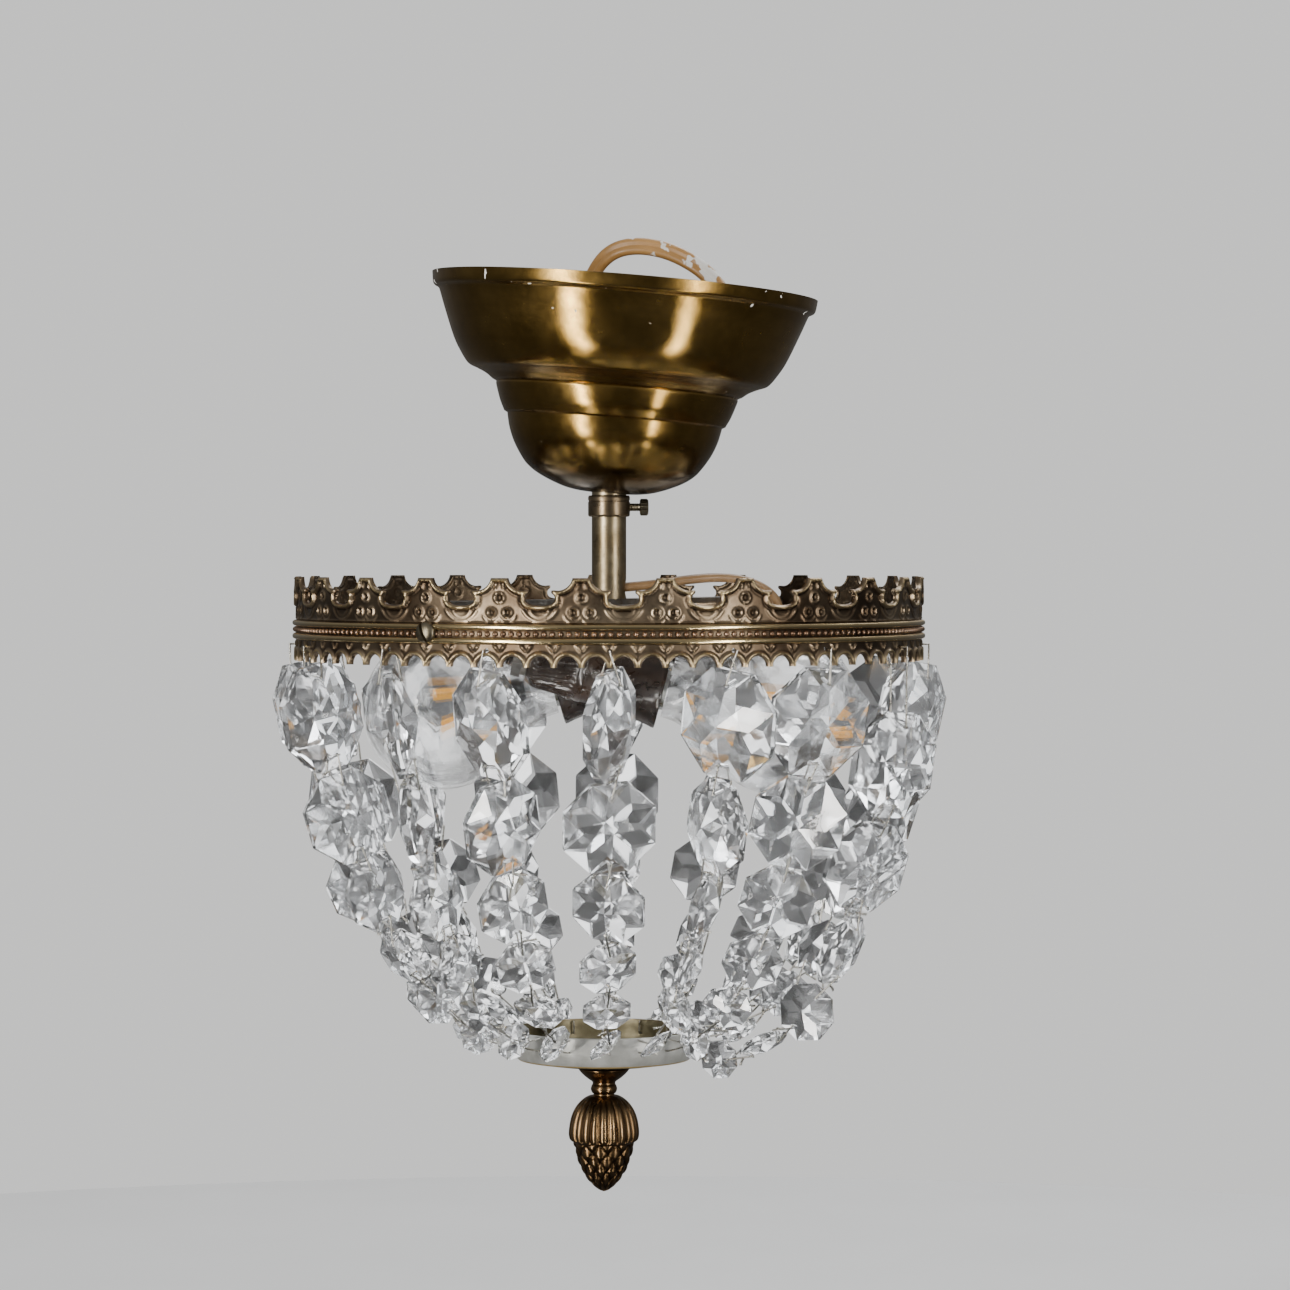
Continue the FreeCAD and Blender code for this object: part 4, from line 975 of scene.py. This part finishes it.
# ---- finial: fluted cup above overlapping scales
DISH_OFFSET = -1.4
FINIAL_TOP = -187.5
FINIAL_OUTLINE = smooth_profile([
    (0, 0), (6.6, 0), (6.9, 0.35), (6.4, 1.1), (5.3, 2.2), (4.3, 3.0), (3.3, 3.7), (3.1, 4.3), (3.4, 4.9),
    (3.6, 5.8), (3.3, 6.7), (2.8, 7.1), (2.9, 7.5), (4.2, 7.7), (5.6, 8.5), (6.9, 9.7), (8.0, 11.2),
    (8.8, 12.9), (9.3, 14.6), (9.6, 16.4), (9.7, 18.0), (9.45, 19.3), (8.9, 19.95), (8.45, 20.4), (8.3, 21.2),
    (7.9, 23.0), (7.45, 24.6), (6.9, 26.2), (6.2, 27.8), (5.35, 29.3), (4.4, 30.7), (3.3, 31.9), (2.2, 32.8),
    (1.1, 33.5), (0, 33.9)],
    (1, 5, 11, 12, 23), 6)
LOBES = 22
LOBE_DEPTH = 0.95
LOBES_FROM, LOBES_TO = 8.2, 20.0
SCALES = 11
SCALE_ROW = 2.45
SCALE_DEPTH = 0.75
SCALES_FROM, SCALES_TO = 20.4, 33.2
FINIAL_SEGMENTS = 240


def finial_relief(height, angles):
    """1 on the crests of the lobes and scales, and 0 in the grooves."""
    if LOBES_FROM < height < LOBES_TO:
        window = min((height - LOBES_FROM) / 1.2, 1.0, (LOBES_TO - height) / 0.5)
        lobe = np.abs(np.sin(angles * LOBES / 2))
        return 1.0 - (1 - lobe ** 0.55) * window
    if SCALES_FROM < height < SCALES_TO:
        row = (height - SCALES_FROM) / SCALE_ROW
        around = angles * SCALES / TAU
        first = (around + row / 2) % 1.0
        second = (around - row / 2) % 1.0
        diamond = np.sqrt(np.sin(first * math.pi) * np.sin(second * math.pi))
        drop = 0.5 + 0.5 * ((first - second + 1.5) % 1.0 - 0.5)
        return np.clip(diamond * (0.75 + 0.5 * drop), 0, 1)
    return np.full(len(angles), 0.8)


def finial_shape(radius, height, angles):
    """Radius with the lobes and scales pressed in."""
    if not LOBES_FROM <= height <= SCALES_TO:
        return np.full(len(angles), radius)
    deep = LOBE_DEPTH if height < LOBES_TO else SCALE_DEPTH * min(1.0, radius / 4.0)
    return radius - deep * (1 - finial_relief(height, angles))


ends = (0, len(FINIAL_OUTLINE) - 1)
profile = [(0.0 if k in ends else max(radius, 0.05), height)
           for k, (radius, height) in enumerate(FINIAL_OUTLINE)]
points, faces = lathe(profile, FINIAL_SEGMENTS, closed=False, shape=finial_shape)
angles = np.linspace(0, TAU, FINIAL_SEGMENTS, endpoint=False)
# The tone sets painted shade in the grooves and a painted highlight on the crests.
tone = []
for radius, height in profile:
    tone += [0.5] if radius == 0 else list(0.02 + 0.82 * finial_relief(height, angles))
flip = np.diag([1.0, -1.0, -1.0, 1.0])
flip[:3, 3] = (DISH_OFFSET, 0, FINIAL_TOP)
piece("finial_acorn", moved(points, flip), faces, finial_brass, "finial", "finial_brass", ["finial"],
      sharp=70, relief=tone)


# ---- spun dish under the strings
DISH_SEGMENTS = 128
DISH_WALL = [
    (DISH_RIM, [(24.7, -176.8)]),
    (DISH_OUTSIDE, [(25.1, -176.7), (25.4, -177.0), (25.4, -179.0), (25.2, -181.2), (24.7, -183.2),
                    (24.0, -184.3)]),
    (DISH_EDGE, [(23.75, -184.6), (23.4, -184.9)]),
    (DISH_UNDER, [(22.9, -185.0), (16.0, -186.1), (7.0, -187.3), (2.6, -187.45)]),
    (DISH_INSIDE, [(2.6, -186.65), (7.0, -186.5), (16.0, -185.3), (22.6, -184.2), (23.3, -183.6), (24.0, -182.8),
                   (24.45, -181.0), (24.6, -179.0), (24.6, -177.1)])]
points, faces = lathe([spot for _, spots in DISH_WALL for spot in spots], DISH_SEGMENTS)
face_tone = [tone for tone, spots in DISH_WALL for _ in range(len(spots) * DISH_SEGMENTS)]
piece("dish_spun", points + (DISH_OFFSET, 0, 0), faces, dish_metal, "dish", "dish_metal", ["bottom_dish"],
      sharp=32, relief=face_tone)


# ---- twisted wire ends on the crystal strings
def bead_centres(crystals):
    """Centre, facing direction and width of each crystal of a string, widest and so topmost first."""
    solid = bmesh.new()
    solid.from_mesh(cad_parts[crystals].data)
    bmesh.ops.remove_doubles(solid, verts=solid.verts, dist=1e-6)
    solid.verts.index_update()
    left, found = set(solid.verts), []
    while left:
        seed = left.pop()
        group, queue = [seed], [seed]
        while queue:
            for edge in queue.pop().link_edges:
                for vertex in edge.verts:
                    if vertex in left:
                        left.remove(vertex)
                        group.append(vertex)
                        queue.append(vertex)
        cloud = np.array([vertex.co for vertex in sorted(group, key=lambda vertex: vertex.index)]) / MM
        centre = (cloud.min(axis=0) + cloud.max(axis=0)) / 2
        spread = np.linalg.svd(cloud - cloud.mean(axis=0), full_matrices=False)[2]
        across = (cloud - centre) @ spread.T
        found.append((centre, spread[2], float(across[:, 0].max() - across[:, 0].min())))
    solid.free()
    return sorted(found, key=lambda bead: -bead[2])


STRAND_PITCH = 1.15
STRAND_GAP = 0.2
STRAND_RADIUS = 0.17
MIDDLE_GAP = 0.6
IN_FRONT = 1.9


def twist(start, direction, length, rng):
    """Two thin strands wound round each other, slightly bent."""
    direction = direction / np.linalg.norm(direction)
    frame_here = basis(direction, start, near=(0.3, 0.2, 0.93))
    bend = rng.uniform(-0.9, 0.9, 2)
    shapes = []
    for phase in (0, math.pi):
        t = np.linspace(0, 1, 16)
        spin = t * length / STRAND_PITCH * TAU + phase
        gap = STRAND_GAP + 0.3 * np.clip(t - 0.8, 0, 1)
        x, y = gap * np.cos(spin) + bend[0] * t ** 2, gap * np.sin(spin) + bend[1] * t ** 2
        line = np.stack([x, y, t * length], axis=1)
        shapes.append(tube(moved(line, frame_here), circle(STRAND_RADIUS, 6), (0, frame_here[:3, 0])))
    return shapes


def make_twists():
    """One twisted wire end between each two crystals, most of them on the outer side."""
    rng = np.random.default_rng(11)
    for number in range(1, len(STRING_ANGLES) + 1):
        beads = bead_centres(f"crystals_{number:02d}")
        away = outward(STRING_ANGLES[number - 1])
        side = np.cross(away, (0, 0, 1))
        shapes = []
        for (centre, facing, width), (following, *_) in zip(beads, beads[1:]):
            down = (following - centre) / np.linalg.norm(following - centre)
            middle = centre + down * (width / 2 + MIDDLE_GAP)
            turned = facing if np.dot(facing, away) > 0 else -facing
            start = middle + turned * IN_FRONT * (1 if rng.random() < 0.7 else -1)
            direction = side * rng.choice([-1, 1]) + away * rng.uniform(-0.2, 0.7)
            direction = direction + (0, 0, rng.uniform(-0.5, 0.2))
            shapes += twist(start, direction, rng.uniform(2.2, 4.2), rng)
        piece(f"pin_twists_{number:02d}", *merge(shapes), pin_metal, f"string_{number:02d}", "pin_wire",
              sharp=80)


make_twists()


# ---- finishes of the CAD parts that stay
KEPT = {"stem_tube": stem_brass, "hanging_loop": steel, "lock_nuts": steel, "spider_bar": steel,
        "lamp_bracket": steel, "contact_sleeves": contact_metal, "bulb_cap_front": shell_metal,
        "bulb_cap_rear": shell_metal, "cord_wires": copper, "finial_nut": steel}
for number in range(1, len(STRING_ANGLES) + 1):
    KEPT[f"crystals_{number:02d}"] = crystal
    KEPT[f"pins_{number:02d}"] = pin_metal
for name, material in KEPT.items():
    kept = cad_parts[name]
    if not kept.material_slots:
        kept.data.materials.append(material)
    for slot in kept.material_slots:
        slot.material = material


# ---- floor, light and surroundings
FLOOR_LEVEL = -330.0
FLOOR_RADIUS = 750.0
FLOOR_THICKNESS = 4.0
floor_profile = [(0, 0.0), (FLOOR_RADIUS / 2, 0.0), (FLOOR_RADIUS, 0.0), (FLOOR_RADIUS, -FLOOR_THICKNESS),
                 (0, -FLOOR_THICKNESS)]
points, faces = lathe(floor_profile, 96, closed=False)
mesh = bpy.data.meshes.new("floor")
mesh.from_pydata(((points + (0, 0, FLOOR_LEVEL)) * MM).tolist(), [], faces)
floor = bpy.data.objects.new("floor", mesh)
bpy.context.scene.collection.objects.link(floor)
made, shader, place = start_material("floor_pale")
feed(shader, Base_Color=cloudy(place, 6.0, (0.78, 0.78, 0.77), (0.82, 0.82, 0.81)),
     Roughness=cloudy(place, 40.0, 0.7, 0.85))
mesh.materials.append(made)
floor.visible_glossy = False
floor.visible_transmission = False

LIGHT_TARGET = Vector((0, 0, -0.09))
WARM = (1.0, 0.97, 0.93)
COOL = (0.95, 0.97, 1.0)


def soft_box(name, azimuth, elevation, distance, width, height, watts, colour):
    """A rectangular light that faces the middle of the object, and that the camera can't see."""
    light = bpy.data.lights.new(name, "AREA")
    light.shape = "RECTANGLE"
    light.size, light.size_y = width, height
    light.energy = watts
    light.color = colour
    lamp = bpy.data.objects.new(name, light)
    bpy.context.scene.collection.objects.link(lamp)
    angle = math.radians(elevation)
    x, y, _ = outward(azimuth) * math.cos(angle) * distance
    lamp.location = LIGHT_TARGET + Vector((x, y, math.sin(angle) * distance))
    lamp.rotation_euler = (LIGHT_TARGET - lamp.location).to_track_quat("-Z", "Y").to_euler()
    lamp.visible_camera = False


soft_box("key_left", -38, -16, 1.35, 0.14, 2.1, 44, WARM)
soft_box("key_right", 43, -16, 1.35, 0.07, 2.1, 24, WARM)
soft_box("top_fill", 150, 55, 1.3, 0.9, 0.9, 14, COOL)

# What each kind of ray meets past the floor: the camera a pale wall, diffuse light an even grey, reflections a
# room that brightens upwards, and light through glass soft bright and dark panels.
CAMERA_WALL = (0.86, 0.86, 0.85)
DIFFUSE_GREY = (0.42, 0.42, 0.42)
ROOM = ((0.0, 0.07), (0.42, 0.09), (0.6, 0.17), (1.0, 0.36))
PANELS = ((0.38, 0.03), (0.46, 0.22), (0.52, 0.55), (0.58, 2.5))
world = bpy.data.worlds.new("studio")
bpy.context.scene.world = world
world.use_nodes = True
tree = world.node_tree
tree.nodes.clear()
direction = node("TexCoord", {}, tree).outputs["Generated"]
height = node("SeparateXYZ", {"Vector": direction}).outputs["Z"]
height = calc("MULTIPLY", calc("ADD", height, 1.0), 0.5)
panels = ramp(noise(direction, 2.0, 1.0, 0.4), *PANELS)
path = node("LightPath", {}, tree)
scattered = blend(path.outputs["Is Diffuse Ray"], ramp(height, *ROOM), DIFFUSE_GREY)
through = blend(path.outputs["Is Transmission Ray"], scattered, panels)
seen = blend(path.outputs["Is Camera Ray"], through, CAMERA_WALL)
background = node("Background", {"Color": seen, "Strength": 1.0})
node("OutputWorld", {"Surface": background.outputs[0]})
